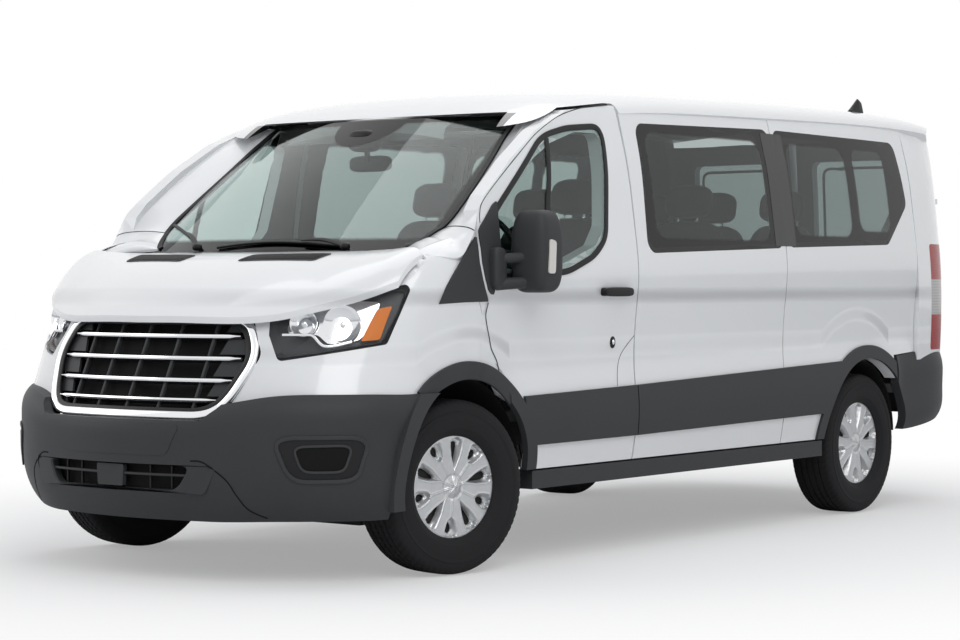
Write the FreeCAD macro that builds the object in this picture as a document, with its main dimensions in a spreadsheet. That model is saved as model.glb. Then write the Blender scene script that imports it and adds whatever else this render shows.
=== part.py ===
import FreeCAD, Part
import math
import os
import Sketcher
from FreeCAD import Vector, Rotation, Placement

# A low-roofed passenger minibus with a short wheelbase.
# Millimetres. +X is the vehicle's left, -Y its front, +Z up.
# The origin is on the ground, under the middle of the whole length.

os.makedirs("parts", exist_ok=True)
doc = FreeCAD.newDocument("minibus")

# Driving sizes
sizes = {
    "wheelbase": 3300,
    "front_overhang": 1000,
    "rear_overhang": 1250,
    "half_width": 1030,
    "roof_height": 2090,
    "body_rake": 60,
    "overrun": 400,
    "seam": 8,
    "seat_gap": 0.3,
    # walls
    "side_wall": 62,
    "door_wall": 70,
    "skin_wall": 14,
    "roof_wall": 34,
    "glass_wall": 5,
    "hood_wall": 26,
    "bumper_wall": 46,
    "moulding_wall": 14,
    "trim_wall": 12,
    # glazing
    "glass_corner": 62,
    "glass_lip": 24,
    # wheels
    "tyre_radius": 352,
    "tyre_width": 226,
    "rim_radius": 222,
    "rim_width": 176,
    "rim_wall": 9,
    "bead_radius": 205,
    "arch_radius": 432,
    "arch_lip": 66,
    "front_track": 1732,
    "rear_track": 1743,
    "steer_rest": 12,
    "hub_radius": 68,
    "kingpin_inset": 92,
    "spoke_count": 5,
    # underbody
    "rail_offset": 430,
    "rail_width": 70,
    "rail_bottom": 380,
    "floor_top": 640,
    "floor_wall": 46,
    "axle_radius": 42,
    "engine_length": 560,
    "engine_width": 560,
    "engine_height": 560,
    "tank_length": 900,
    "tank_width": 420,
    "tank_height": 230,
    # seats
    "seat_width": 500,
    "headrest_width": 270,
}
sheet = doc.addObject("Spreadsheet::Sheet", "sizes")
for row, (name, value) in enumerate(sizes.items(), start=1):
    sheet.set("A%d" % row, name)
    sheet.set("B%d" % row, str(value))
    sheet.setAlias("B%d" % row, name)
doc.recompute()


def size(name):
    return float(sheet.get(name))


wheelbase = size("wheelbase")
front_overhang = size("front_overhang")
rear_overhang = size("rear_overhang")
half_width = size("half_width")
roof_height = size("roof_height")
overrun = size("overrun")
seam = size("seam")
front_axle_y = (front_overhang - wheelbase - rear_overhang) / 2
rear_axle_y = front_axle_y + wheelbase
floor_bottom = size("floor_top") - size("floor_wall")
frame_front = front_axle_y - front_overhang * 0.62
frame_rear = rear_axle_y + rear_overhang * 0.86
wheel_z = size("tyre_radius")


# Places along, across and above the vehicle
def run(share):
    """-1 is the nose, 0 the front axle, 1 the rear axle and 2 the tail."""
    if share < 0:
        return front_axle_y + share * front_overhang
    if share > 1:
        return rear_axle_y + (share - 1) * rear_overhang
    return front_axle_y + share * wheelbase


def across(share):
    return share * half_width


def up(share):
    return share * roof_height


def rake(y):
    """The body stands nose down: lift over the line at the door pillar."""
    return size("body_rake") * ((y - front_axle_y) / wheelbase - pillar_share)


pillar_share = 0.36


# Shape helpers
def spline(points):
    curve = Part.BSplineCurve()
    curve.interpolate(points)
    return curve.toShape()


def ribbon(outer, inner):
    edges = [
        spline(outer),
        Part.makeLine(outer[-1], inner[-1]),
        spline(list(reversed(inner))),
        Part.makeLine(inner[0], outer[0]),
    ]
    return Part.Wire(edges)


def loft(wires):
    return Part.makeLoft(wires, True, False)


def rounded_wire(points, radius):
    """A closed outline with straight runs and one round at each corner."""
    count = len(points)
    starts = []
    edges = []
    for index in range(count):
        before = points[index - 1]
        corner = points[index]
        after = points[(index + 1) % count]
        back = (before - corner).normalize()
        forth = (after - corner).normalize()
        half_turn = back.getAngle(forth) / 2
        reach = radius / math.tan(half_turn)
        reach = min(reach, before.distanceToPoint(corner) * 0.45, after.distanceToPoint(corner) * 0.45)
        true_radius = reach * math.tan(half_turn)
        bisector = (back + forth).normalize()
        middle = corner + bisector * (true_radius / math.sin(half_turn) - true_radius)
        starts.append((corner + back * reach, middle, corner + forth * reach))
    for index in range(count):
        entry, middle, leave = starts[index]
        edges.append(Part.Arc(entry, middle, leave).toShape())
        edges.append(Part.makeLine(leave, starts[(index + 1) % count][0]))
    return Part.Wire(edges)


def prism(wire, direction):
    return Part.Face(wire).extrude(direction)


def side_points(shares, x):
    return [Vector(x, run(along), up(high)) for along, high in shares]


def side_prism(shares, radius, start=None, end=None):
    """An outline on the vehicle's side, carried inwards from the left."""
    if start is None:
        start = across(0.45)
    if end is None:
        end = across(1) + overrun
    if radius:
        wire = rounded_wire(side_points(shares, start), radius)
    else:
        points = side_points(shares, start)
        wire = Part.makePolygon(points + points[:1])
    return prism(wire, Vector(end - start, 0, 0))


def box(low, high):
    return Part.makeBox(high.x - low.x, high.y - low.y, high.z - low.z, low)


def mirrored(shape):
    return shape.mirror(Vector(0, 0, 0), Vector(1, 0, 0))


parts = []


def node(label, shape):
    feature = doc.addObject("Part::Feature", label)
    feature.Shape = shape
    feature.Label = label
    parts.append(feature)
    return feature


def one_solid(shape):
    solids = sorted(shape.Solids, key=lambda solid: solid.Volume)
    return solids[-1]


# The side wall: one section, carried along the body by its plan
section_shares = [
    (0.955, 0.150), (0.968, 0.195), (0.985, 0.250), (0.989, 0.310), (0.978, 0.375),
    (0.977, 0.430), (0.990, 0.510), (1.000, 0.575), (0.990, 0.640), (0.974, 0.700),
    (0.938, 0.815), (0.903, 0.887), (0.878, 0.928), (0.845, 0.951),
]
plan_shares = [(-0.10, 0.993), (0.10, 0.998), (0.36, 1.0), (0.75, 1.0), (1.40, 0.994), (1.62, 0.982)]


def side_section(y, width_share, outset, thickness):
    lift = rake(y)
    outer = [Vector(across(wide * width_share) + outset, y, up(high) + lift) for wide, high in section_shares]
    inner = [point - Vector(thickness, 0, 0) for point in outer]
    return ribbon(outer, inner)


def side_wall(outset, thickness):
    wires = [side_section(run(along), wide, outset, thickness) for along, wide in plan_shares]
    return loft(wires)


front_arch = Part.makeCylinder(size("arch_radius"), 2 * overrun, Vector(across(0.62), front_axle_y, wheel_z), Vector(1, 0, 0))
rear_arch = Part.makeCylinder(size("arch_radius"), 2 * overrun, Vector(across(0.62), rear_axle_y, wheel_z), Vector(1, 0, 0))

# Seams of the side, from front to back, as seen from the left
door_front_shares = [
    (0.345, 0.929), (0.244, 0.911), (0.165, 0.863), (0.099, 0.800), (0.039, 0.728), (0.022, 0.698),
    (0.018, 0.669), (0.015, 0.532), (0.029, 0.483), (0.058, 0.398), (0.080, 0.340),
]
belt_run = 0.36
panel_run = 0.748
corner_run = 1.42
sill_share = 0.190
door_top_share = 0.929
roof_seam_share = 0.949


def door_outline():
    lower = [(0.139, 0.300), (0.139, sill_share), (belt_run, sill_share), (belt_run, door_top_share)]
    return door_front_shares + lower


def side_bay(first, last):
    """A prism over the side from one seam to the next, sill to roof."""
    shares = [(first, sill_share), (last, sill_share), (last, roof_seam_share), (first, roof_seam_share)]
    points = side_points(shares, across(0.45))
    points[0] += Vector(0, seam / 2, 0)
    points[3] += Vector(0, seam / 2, 0)
    points[1] -= Vector(0, seam / 2, 0)
    points[2] -= Vector(0, seam / 2, 0)
    return prism(Part.makePolygon(points + points[:1]), Vector(across(0.55) + overrun, 0, 0))


front_window_shares = [(0.395, 0.896), (0.748 - 0.004, 0.909), (0.748 - 0.004, 0.637), (0.385, 0.620)]
rear_window_shares = [(0.752, 0.909), (1.33, 0.905), (1.365, 0.750), (1.16, 0.650), (0.752, 0.638)]
door_window_shares = [
    (0.021, 0.650), (0.092, 0.750), (0.146, 0.815), (0.190, 0.850), (0.250, 0.877), (0.315, 0.879),
    (0.309, 0.780), (0.296, 0.670), (0.270, 0.625), (0.160, 0.570), (0.060, 0.575),
]
window_round = size("glass_corner")
wall_solid = side_wall(0, size("side_wall"))
glass_solid = side_wall(0, size("glass_wall"))
lip_inset = size("glass_lip")


def outline_wire(shares, radius, x, inset=0):
    wire = rounded_wire(side_points(shares, x), radius)
    if inset:
        wire = Part.Face(wire).makeOffset2D(-inset).OuterWire
    return wire


def window_tool(shares, inset):
    return prism(outline_wire(shares, window_round, across(0.45), inset), Vector(across(0.55) + overrun, 0, 0))


# Roof
roof_section_shares = [(0.892, -0.057), (0.866, -0.040), (0.800, -0.024), (0.70, -0.014), (0.45, -0.004), (0.0, 0.0)]
roof_line_shares = [
    (0.165, 0.870, 0.5), (0.215, 0.925, 0.75), (0.258, 0.950, 0.9), (0.318, 0.965, 1.0), (0.424, 0.977, 1.0),
    (0.606, 0.987, 1.0), (0.90, 0.997, 1.0), (1.25, 0.9995, 1.0), (1.60, 0.995, 1.0), (1.88, 0.982, 1.0),
]


def roof_station(along, crest, drop_share):
    y = run(along)
    left = [Vector(across(wide), y, up(crest + drop * drop_share)) for wide, drop in roof_section_shares]
    right = [Vector(-point.x, point.y, point.z) for point in reversed(left[:-1])]
    outer = left + right
    inner = [point - Vector(point.x * size("roof_wall") / half_width, 0, size("roof_wall")) for point in outer]
    return ribbon(outer, inner)


roof_solid = loft([roof_station(*station) for station in roof_line_shares])

# Windscreen: curves across and leans back to the roof's front edge
screen_low = Vector(across(0.822), run(0.010), up(0.622))
screen_high = Vector(across(0.680), run(0.236), up(0.902))
screen_bow_low = run(0.010) - run(-0.15)
screen_bow_high = run(0.236) - run(0.188)


def screen_wire(share, thickness, shift=0):
    edge = screen_low + (screen_high - screen_low) * share + Vector(0, shift, 0)
    bow = screen_bow_low + (screen_bow_high - screen_bow_low) * share
    swell = across(0.02) * math.sin(math.pi * share)
    outer = []
    for step in range(-3, 4):
        portion = step / 3
        outer.append(Vector(edge.x * portion, edge.y - bow * (1 - portion * portion) - swell, edge.z))
    inner = [point + Vector(0, thickness, 0) for point in outer]
    return ribbon(outer, inner)


screen_depth = size("glass_wall") / math.sin(math.radians(37))
windscreen = loft([screen_wire(share, screen_depth) for share in (0, 0.5, 1)])
node("windscreen", windscreen)
screen_shift = screen_depth + 4 * size("seat_gap")
roof_front = loft([screen_wire(share, -front_overhang, screen_shift) for share in (-0.3, 0.5, 1.02)])
roof_corners = [Vector(across(wide), run(along), 0) for wide, along in ((-0.9, 0), (0.9, 0), (0.9, 1.86), (-0.9, 1.86))]
roof_plan = prism(rounded_wire(roof_corners, across(0.34)), Vector(0, 0, 2 * roof_height))
roof_solid = one_solid(roof_solid.cut(roof_front).common(roof_plan))


front_bay = wall_solid.common(side_bay(belt_run, panel_run)).cut(roof_solid)
rear_bay = wall_solid.common(side_bay(panel_run, corner_run)).cut(rear_arch).cut(roof_solid)
bumper_side_top_shares = [(1.23, 0.10), (1.23, 0.378), (1.25, 0.378), (1.45, 0.385), (1.60, 0.388), (1.60, 0.10)]
bumper_room = side_prism(bumper_side_top_shares, 0)
bumper_room.translate(Vector(0, 0, seam / 2))
rear_bay = rear_bay.cut(bumper_room)
front_bay_cut = front_bay.cut(window_tool(front_window_shares, lip_inset))
rear_bay_cut = rear_bay.cut(window_tool(rear_window_shares, lip_inset))
front_pane = glass_solid.common(window_tool(front_window_shares, 0))
rear_pane = glass_solid.common(window_tool(rear_window_shares, 0))
pane_bed = side_wall(2 * lip_inset, size("glass_wall") + 2 * lip_inset)
front_bay_cut = front_bay_cut.cut(pane_bed.common(window_tool(front_window_shares, 0)))
rear_bay_cut = rear_bay_cut.cut(pane_bed.common(window_tool(rear_window_shares, 0)))
# The pillar behind the front door fills the wall and backs the closed door
flange = size("arch_lip") * 0.7
pillar_block = side_wall(-size("seat_gap"), size("door_wall") + 2 * size("moulding_wall"))
pillar_block = pillar_block.common(box(Vector(across(0.5), run(belt_run) - flange, size("floor_top") + size("seat_gap")),
                                       Vector(across(1.1), run(belt_run) + flange, up(0.9))))
closed_door = side_wall(seam, seam + size("door_wall") + 3 * size("seat_gap"))
closed_door = closed_door.common(box(Vector(across(0.5), run(0), 0), Vector(across(1.2), run(belt_run) + seam / 2, roof_height)))
front_bay_cut = front_bay_cut.fuse(pillar_block.cut(closed_door).cut(roof_solid))
node("side_panel_left", one_solid(front_bay_cut))
node("sliding_door_right", one_solid(mirrored(front_bay_cut)))
node("rear_quarter_left", one_solid(rear_bay_cut))
node("rear_quarter_right", one_solid(mirrored(rear_bay_cut)))
panes = [one_solid(front_pane), one_solid(rear_pane)]
node("side_glass", Part.makeCompound(panes + [mirrored(pane) for pane in panes]))


# Front doors: the same wall, thicker, between the wheel arch and the pillar
def door_face(grow):
    points = side_points(door_outline(), across(0.45))
    for index in (-1, -2):
        points[index] -= Vector(0, seam / 2, 0)
    face = Part.Face(Part.makePolygon(points + points[:1]))
    if grow:
        face = face.makeOffset2D(grow)
    return face


door_reach = Vector(across(0.55) + overrun, 0, 0)
door_gap = door_face(seam).extrude(door_reach)
roof_gap = door_face(1.5 * seam).extrude(door_reach)
node("roof_panel", one_solid(roof_solid.cut(roof_gap).cut(mirrored(roof_gap))))
door_solid = side_wall(0, size("door_wall")).common(door_face(0).extrude(door_reach))
door_end = run(belt_run) - seam / 2
door_bevel_points = [Vector(across(1), door_end, 0), Vector(across(0.7), door_end, 0),
                     Vector(across(0.7), door_end - across(0.024), 0)]
door_bevel = prism(Part.makePolygon(door_bevel_points + door_bevel_points[:1]), Vector(0, 0, roof_height))
door_solid = door_solid.cut(front_arch).cut(door_bevel)
door_window = window_tool(door_window_shares, lip_inset)
door_pane = glass_solid.common(window_tool(door_window_shares, 0))
door_solid = door_solid.cut(door_window).cut(pane_bed.common(window_tool(door_window_shares, 0)))
node("front_door_left", one_solid(door_solid))
node("front_door_right", one_solid(mirrored(door_solid)))
node("front_door_glass_left", one_solid(door_pane))
node("front_door_glass_right", one_solid(mirrored(door_pane)))


# Bands that wrap a corner: a path in plan and one section, blended along it
def even_path(points, count):
    """Points spaced evenly along a smooth line, each with its share of the way in the given ones."""
    curve = Part.BSplineCurve()
    curve.interpolate(points)
    stations = curve.discretize(Number=count)
    marks = [curve.length(curve.FirstParameter, curve.parameter(point)) for point in points[1:]]
    marks = [0.0] + marks
    whole = marks[-1]
    rows = []
    for index, station in enumerate(stations):
        way = whole * index / (count - 1)
        leg = 0
        while leg < len(marks) - 2 and way > marks[leg + 1]:
            leg += 1
        portion = (way - marks[leg]) / (marks[leg + 1] - marks[leg])
        rows.append((station, leg, portion))
    return rows


def band(plan, section, thickness, symmetric, count, outset=0):
    """plan: (across, run, bottom, top, blend); section(blend) gives offsets by height share."""
    rows = list(plan)
    if symmetric:
        rows += [(-wide, along, low, high, blend) for wide, along, low, high, blend in reversed(plan[:-1])]
    points = [Vector(across(row[0]), run(row[1]), 0) for row in rows]
    turn = 1 if points[len(plan) - 1].y < points[0].y else -1
    path = even_path(points, count)
    wires = []
    for index, (point, leg, portion) in enumerate(path):
        before = path[max(index - 1, 0)][0]
        after = path[min(index + 1, count - 1)][0]
        tangent = (after - before).normalize()
        normal = Vector(-tangent.y, tangent.x, 0) * turn
        low, high, blend = [rows[leg][slot] + portion * (rows[leg + 1][slot] - rows[leg][slot]) for slot in (2, 3, 4)]
        outer = []
        for share, offset in section(blend):
            height = up(low) + share * (up(high) - up(low))
            outer.append(point + normal * (offset + outset) + Vector(0, 0, height))
        inner = [place - normal * thickness for place in outer]
        wires.append(ribbon(outer, inner))
    return loft(wires)


def blended(side_offsets, nose_offsets):
    def section(blend):
        rows = []
        for (share, side_share), (_, nose_share) in zip(side_offsets, nose_offsets):
            rows.append((share, across(side_share * (1 - blend) + nose_share * blend)))
        return rows
    return section


# Hood: one curved lid, hinged at its rear edge
hood_shares = [
    (0.0, -0.815, 0.496, -0.245, 0.619), (0.25, -0.80, 0.496, -0.242, 0.619), (0.437, -0.755, 0.495, -0.235, 0.619),
    (0.56, -0.70, 0.499, -0.225, 0.619), (0.70, -0.615, 0.515, -0.215, 0.621), (0.80, -0.53, 0.530, -0.21, 0.624),
    (0.87, -0.44, 0.547, -0.21, 0.626), (0.915, -0.36, 0.562, -0.21, 0.612),
]


def hood_station(wide, nose, nose_high, tail, tail_high, grow):
    front = Vector(across(wide), run(nose) - grow, up(nose_high))
    rear = Vector(across(wide), run(tail) + grow, up(tail_high))
    bow = (rear - front).Length * 0.075
    outer = []
    for share in (0, 0.25, 0.5, 0.75, 1):
        lift = bow * 4 * share * (1 - share)
        outer.append(front + (rear - front) * share + Vector(0, -lift * 0.5, lift))
    outer = [point + Vector(0, 0, 3 * grow) for point in outer]
    inner = [point - Vector(0, 0, size("hood_wall") + 6 * grow) for point in outer]
    return ribbon(outer, inner)


def hood_loft(grow):
    half = []
    for index, (wide, nose, nose_high, tail, tail_high) in enumerate(hood_shares):
        reach = wide + (1.5 * grow / half_width if index == len(hood_shares) - 1 else 0)
        half.append(hood_station(reach, nose, nose_high, tail, tail_high, grow))
    return loft([mirrored(wire) for wire in reversed(half[1:])] + half)


hood_gap = hood_loft(seam)
hood_axis = Vector(across(0.6), run(-0.12), up(0.6125))
hinge_radius = size("rim_wall") * 0.8
hinge_arm = box(Vector(hood_axis.x - 1.5 * seam, run(-0.255), hood_axis.z - hinge_radius),
                Vector(hood_axis.x + 1.5 * seam, hood_axis.y, hood_axis.z + hinge_radius * 0.75))
hinge_pin = Part.makeCylinder(hinge_radius, 7 * seam, hood_axis - Vector(3.5 * seam, 0, 0), Vector(1, 0, 0))
hood_solid = hood_loft(0).fuse([hinge_arm, hinge_pin, mirrored(hinge_arm), mirrored(hinge_pin)])
node("hood", one_solid(hood_solid))


fender_side_shares = [
    (0.0, -0.006), (0.2, -0.016), (0.4, -0.010), (0.6, -0.002), (0.8, -0.004), (0.93, -0.035), (1.0, -0.090),
]
fender_nose_shares = [
    (0.0, 0.082), (0.2, 0.060), (0.4, 0.037), (0.6, 0.012), (0.8, -0.017), (0.93, -0.038), (1.0, -0.052),
]
fender_plan = [
    (0.992, 0.026, 0.30, 0.650, 0.0), (0.988, -0.06, 0.30, 0.640, 0.0), (0.980, -0.16, 0.31, 0.630, 0.05),
    (0.961, -0.25, 0.325, 0.610, 0.15), (0.922, -0.36, 0.335, 0.565, 0.4), (0.869, -0.455, 0.335, 0.545, 0.7),
    (0.796, -0.545, 0.335, 0.530, 0.9), (0.699, -0.625, 0.335, 0.515, 1.0), (0.583, -0.69, 0.335, 0.500, 1.0),
    (0.437, -0.745, 0.335, 0.495, 1.0), (0.243, -0.79, 0.335, 0.495, 1.0), (0.0, -0.805, 0.335, 0.495, 1.0),
]
fender_band = band(fender_plan[:-2], blended(fender_side_shares, fender_nose_shares), size("skin_wall"), False, 14)


# Front openings, as seen along the vehicle or across its corner
def front_prism(shares, radius, grow=0):
    """Outline of (across, up) shares on both sides, carried rearwards."""
    right = [(-wide, high) for wide, high in reversed(shares) if wide > 0]
    points = [Vector(across(wide), run(-1.3), up(high)) for wide, high in list(shares) + right]
    wire = rounded_wire(points, radius)
    if grow:
        wire = Part.Face(wire).makeOffset2D(grow).OuterWire
    return prism(wire, Vector(0, front_overhang, 0))


grille_shares = [(0.415, 0.306), (0.470, 0.330), (0.545, 0.425), (0.470, 0.494)]
grille_corner = across(0.05)
chrome_width = across(0.024)
grille_hole = front_prism(grille_shares, grille_corner, size("seat_gap"))
corner_axis = Vector(1, -1, 0).normalize()
corner_along = Vector(1, 1, 0).normalize()


def corner_prism(shares, radius, grow=0):
    """Outline on the plane that faces the front corner, carried inwards."""
    start = Vector(across(1.3), run(0) - across(1.3), 0)
    points = [start + corner_along * across(reach) + Vector(0, 0, up(high)) for reach, high in shares]
    wire = rounded_wire(points, radius)
    if grow:
        wire = Part.Face(wire).makeOffset2D(grow).OuterWire
    return prism(wire, corner_axis * -across(1.35))


lamp_shares = [(-0.078, 0.496), (-0.085, 0.462), (-0.055, 0.414), (0.353, 0.445), (0.462, 0.560), (0.30, 0.540)]
lamp_round = across(0.02)
lamp_hole = corner_prism(lamp_shares, lamp_round, size("seat_gap"))
# Front bumper
bumper_side_shares = [
    (0.0, -0.040), (0.15, -0.012), (0.4, -0.002), (0.7, 0.0), (0.9, -0.004), (1.0, -0.022),
]
bumper_nose_shares = [
    (0.0, -0.082), (0.15, -0.035), (0.4, -0.004), (0.7, 0.0), (0.9, -0.008), (1.0, -0.040),
]
bumper_plan = [
    (0.990, -0.20, 0.130, 0.352, 0.0), (0.978, -0.38, 0.122, 0.352, 0.2), (0.930, -0.53, 0.120, 0.354, 0.6),
    (0.861, -0.635, 0.120, 0.354, 1.0), (0.767, -0.735, 0.120, 0.354, 1.0), (0.641, -0.835, 0.120, 0.350, 1.0),
    (0.485, -0.918, 0.118, 0.335, 1.0), (0.291, -0.970, 0.118, 0.322, 1.0), (0.0, -1.0, 0.118, 0.320, 1.0),
]
front_bumper = band(bumper_plan, blended(bumper_side_shares, bumper_nose_shares), size("bumper_wall"), True, 25)
intake_shares = [(0.435, 0.172), (0.490, 0.224)]
intake_hole = front_prism(intake_shares, across(0.02))
front_bumper = front_bumper.cut(intake_hole).cut(front_arch).cut(mirrored(front_arch))
front_bumper = front_bumper.cut(front_prism(grille_shares, grille_corner, size("seat_gap")))
bracket_low = Vector(size("rail_offset"), run(-0.93) + size("bumper_wall") / 2, up(0.23))
bracket_high = Vector(size("rail_offset") + size("rail_width"), frame_front - size("seat_gap"), up(0.278))
front_bracket = box(bracket_low, bracket_high)
front_bumper = front_bumper.fuse([front_bracket, mirrored(front_bracket)])
lip_plan_shares = [(-0.48, 0.990), (-0.10, 0.993), (0.10, 0.998), (0.36, 1.0), (0.75, 1.0)]
lip_radius = size("arch_radius") * 0.9
lip_centre = Vector(across(0.62), front_axle_y, wheel_z + size("arch_radius") - lip_radius)
front_lip_room = Part.makeCylinder(lip_radius, 2 * overrun, lip_centre, Vector(1, 0, 0))
front_lip_ring = Part.makeCylinder(lip_radius + size("arch_lip"), 2 * overrun, lip_centre, Vector(1, 0, 0)).cut(front_lip_room)
bumper_lip_box = box(Vector(across(0.7), run(-0.6), up(0.125)), Vector(across(1.2), run(-0.1), up(0.352)))
bumper_lip_wall = loft([side_section(run(along), wide, size("moulding_wall"), 2 * size("moulding_wall"))
                        for along, wide in lip_plan_shares])
bumper_lip = bumper_lip_wall.common(front_lip_ring).common(bumper_lip_box)
front_bumper = front_bumper.fuse([bumper_lip, mirrored(bumper_lip)])
node("front_bumper", one_solid(front_bumper))

fender_half = fender_band.cut(grille_hole).cut(lamp_hole).cut(front_arch).cut(door_gap).cut(hood_gap).cut(front_bumper)
fender_left = one_solid(fender_half)
node("fenders", Part.makeCompound([fender_left, mirrored(fender_left)]))
lamp_band = band(fender_plan[:-2], blended(fender_side_shares, fender_nose_shares), size("bumper_wall"), False, 14)
lamp_left = one_solid(lamp_band.common(corner_prism(lamp_shares, lamp_round)).cut(hood_gap))
node("headlamps", Part.makeCompound([lamp_left, mirrored(lamp_left)]))

# Grille: a chrome ring round four bars and their uprights
grille_plan = fender_plan[-5:]
grille_raw = band(grille_plan, blended(fender_side_shares, fender_nose_shares), size("bumper_wall"), True, 11)
grille_band = grille_raw.common(front_prism(grille_shares, grille_corner))
grille_inner = front_prism(grille_shares, grille_corner, -chrome_width)
grille_ring = grille_band.cut(grille_inner)
grille_field = grille_band.common(grille_inner)
bars = []
for share in (0.34, 0.375, 0.415, 0.452):
    bars.append(box(Vector(-across(0.6), run(-1.2), up(share)), Vector(across(0.6), run(-0.5), up(share + 0.010))))
for index in range(-3, 4):
    middle = across(0.13) * index
    bars.append(box(Vector(middle - seam / 2, run(-1.2), up(0.3)), Vector(middle + seam / 2, run(-0.5), up(0.5))))
bar_set = bars[0].multiFuse(bars[1:])
grille_solid = one_solid(grille_ring.fuse(grille_field.common(bar_set)).cut(hood_gap))
node("grille", grille_solid)

# Rear bumper
rear_plan = [
    (0.995, 1.25, 0.19, 0.378, 0.0), (0.990, 1.45, 0.196, 0.385, 0.0), (0.985, 1.60, 0.205, 0.388, 0.0),
    (0.958, 1.70, 0.213, 0.380, 0.3), (0.905, 1.79, 0.215, 0.372, 0.8), (0.825, 1.88, 0.215, 0.370, 1.0),
    (0.700, 1.95, 0.215, 0.370, 1.0), (0.45, 1.985, 0.215, 0.370, 1.0), (0.0, 2.0, 0.215, 0.370, 1.0),
]
rear_side_shares = [(0.0, -0.030), (0.15, -0.006), (0.5, 0.0), (0.85, 0.0), (1.0, -0.012)]
rear_bumper = band(rear_plan, blended(rear_side_shares, rear_side_shares), size("bumper_wall"), True, 29)
rear_bumper = rear_bumper.cut(rear_arch).cut(mirrored(rear_arch))
bracket_low = Vector(size("rail_offset"), frame_rear + size("seat_gap"), up(0.23))
bracket_high = Vector(size("rail_offset") + size("rail_width"), run(1.985) - size("bumper_wall") * 0.8, up(0.278))
rear_bracket = box(bracket_low, bracket_high)
rear_bumper = rear_bumper.fuse([rear_bracket, mirrored(rear_bracket)])
node("rear_bumper", one_solid(rear_bumper))

# Rear corners and the two rear doors
tail_plan = [
    (0.990, 1.40, 0.365, 0.955, 0.0), (0.980, 1.56, 0.365, 0.955, 0.0), (0.952, 1.68, 0.365, 0.955, 0.2),
    (0.905, 1.765, 0.365, 0.955, 0.5), (0.845, 1.825, 0.365, 0.955, 0.8), (0.770, 1.857, 0.365, 0.955, 1.0),
    (0.50, 1.880, 0.365, 0.955, 1.0), (0.0, 1.890, 0.365, 0.955, 1.0),
]
tail_side_shares = [(0.0, 0.0), (0.2, 0.010), (0.4, 0.004), (0.6, -0.022), (0.8, -0.058), (0.92, -0.095), (1.0, -0.125)]
tail_rear_shares = [(0.0, 0.0), (0.2, 0.006), (0.4, 0.004), (0.6, -0.008), (0.8, -0.026), (0.92, -0.042), (1.0, -0.058)]
tail_section = blended(tail_side_shares, tail_rear_shares)
tail_solid = band(tail_plan, tail_section, size("side_wall"), False, 17)
rear_door_edge = across(0.77)
corner_points = [
    Vector(rear_door_edge + seam, run(2.1), 0), Vector(rear_door_edge + seam, run(1.5), 0),
    Vector(across(0.8), run(corner_run) + seam / 2, 0), Vector(across(1.2), run(corner_run) + seam / 2, 0),
    Vector(across(1.2), run(2.1), 0),
]
corner_region = prism(Part.makePolygon(corner_points + corner_points[:1]), Vector(0, 0, 2 * roof_height))
corner_solid = tail_solid.common(corner_region).cut(rear_bumper).cut(roof_solid)
lamp_side_shares = [(1.55, 0.388), (1.55, 0.655), (1.80, 0.655), (1.80, 0.388)]
tail_lamp_tool = side_prism(lamp_side_shares, across(0.02), across(0.84), across(1) + overrun)
tail_lamp = one_solid(corner_solid.common(tail_lamp_tool))
corner_solid = one_solid(corner_solid.cut(tail_lamp_tool))
# Rear hinges: a pinned barrel on the corner below a bored one on the door
hinge_x = rear_door_edge + 2.5 * seam
hinge_y = run(1.88)
barrel_radius = size("trim_wall") * 0.8
barrel_height = size("moulding_wall") * 2
door_leaves = []
for high in (0.478, 0.775):
    foot = Vector(hinge_x, hinge_y, up(high))
    lower = Part.makeCylinder(barrel_radius, barrel_height, foot - Vector(0, 0, barrel_height))
    pin = Part.makeCylinder(barrel_radius * 0.4, 2 * barrel_height, foot - Vector(0, 0, barrel_height))
    corner_leaf = box(Vector(hinge_x, run(1.812), up(high) - barrel_height),
                      Vector(hinge_x + barrel_height, hinge_y + barrel_radius * 0.8, up(high)))
    corner_solid = corner_solid.fuse([lower, pin, corner_leaf])
    head = foot + Vector(0, 0, size("seat_gap"))
    upper = Part.makeCylinder(barrel_radius, barrel_height, head)
    near_leaf = box(Vector(rear_door_edge - seam, hinge_y - barrel_radius, head.z),
                    Vector(hinge_x, hinge_y + barrel_radius * 0.8, head.z + barrel_height))
    far_leaf = box(Vector(rear_door_edge - barrel_height - seam, run(1.828), head.z),
                   Vector(rear_door_edge - seam, hinge_y + barrel_radius * 0.8, head.z + barrel_height))
    bore = Part.makeCylinder(barrel_radius * 0.4 + size("seat_gap"), 3 * barrel_height, foot - Vector(0, 0, barrel_height))
    door_leaves.append(upper.fuse([near_leaf, far_leaf]).cut(bore))
corner_solid = one_solid(corner_solid)
node("rear_corners", Part.makeCompound([corner_solid, mirrored(corner_solid)]))
node("tail_lamps", Part.makeCompound([tail_lamp, mirrored(tail_lamp)]))
rear_door_low = up(0.378)
rear_door_points = [Vector(seam / 2, run(2.2), rear_door_low), Vector(seam / 2, run(1.9), rear_door_low),
                    Vector(across(0.067), run(1.5), rear_door_low), Vector(rear_door_edge, run(1.5), rear_door_low),
                    Vector(rear_door_edge, run(2.2), rear_door_low)]
rear_door_tool = prism(Part.makePolygon(rear_door_points + rear_door_points[:1]), Vector(0, 0, roof_height))
rear_door = tail_solid.common(rear_door_tool).cut(box(Vector(0, run(1), up(0.930)), Vector(across(1), run(2.2), up(1.1))))
rear_window_points = [Vector(across(wide), run(2.2), up(high)) for wide, high in
                      [(0.10, 0.63), (0.10, 0.89), (0.66, 0.89), (0.68, 0.63)]]
rear_window_wire = rounded_wire(rear_window_points, window_round)
rear_glass_tool = prism(rear_window_wire, Vector(0, -rear_overhang, 0))
rear_inner_wire = Part.Face(rear_window_wire).makeOffset2D(-lip_inset).OuterWire
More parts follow.
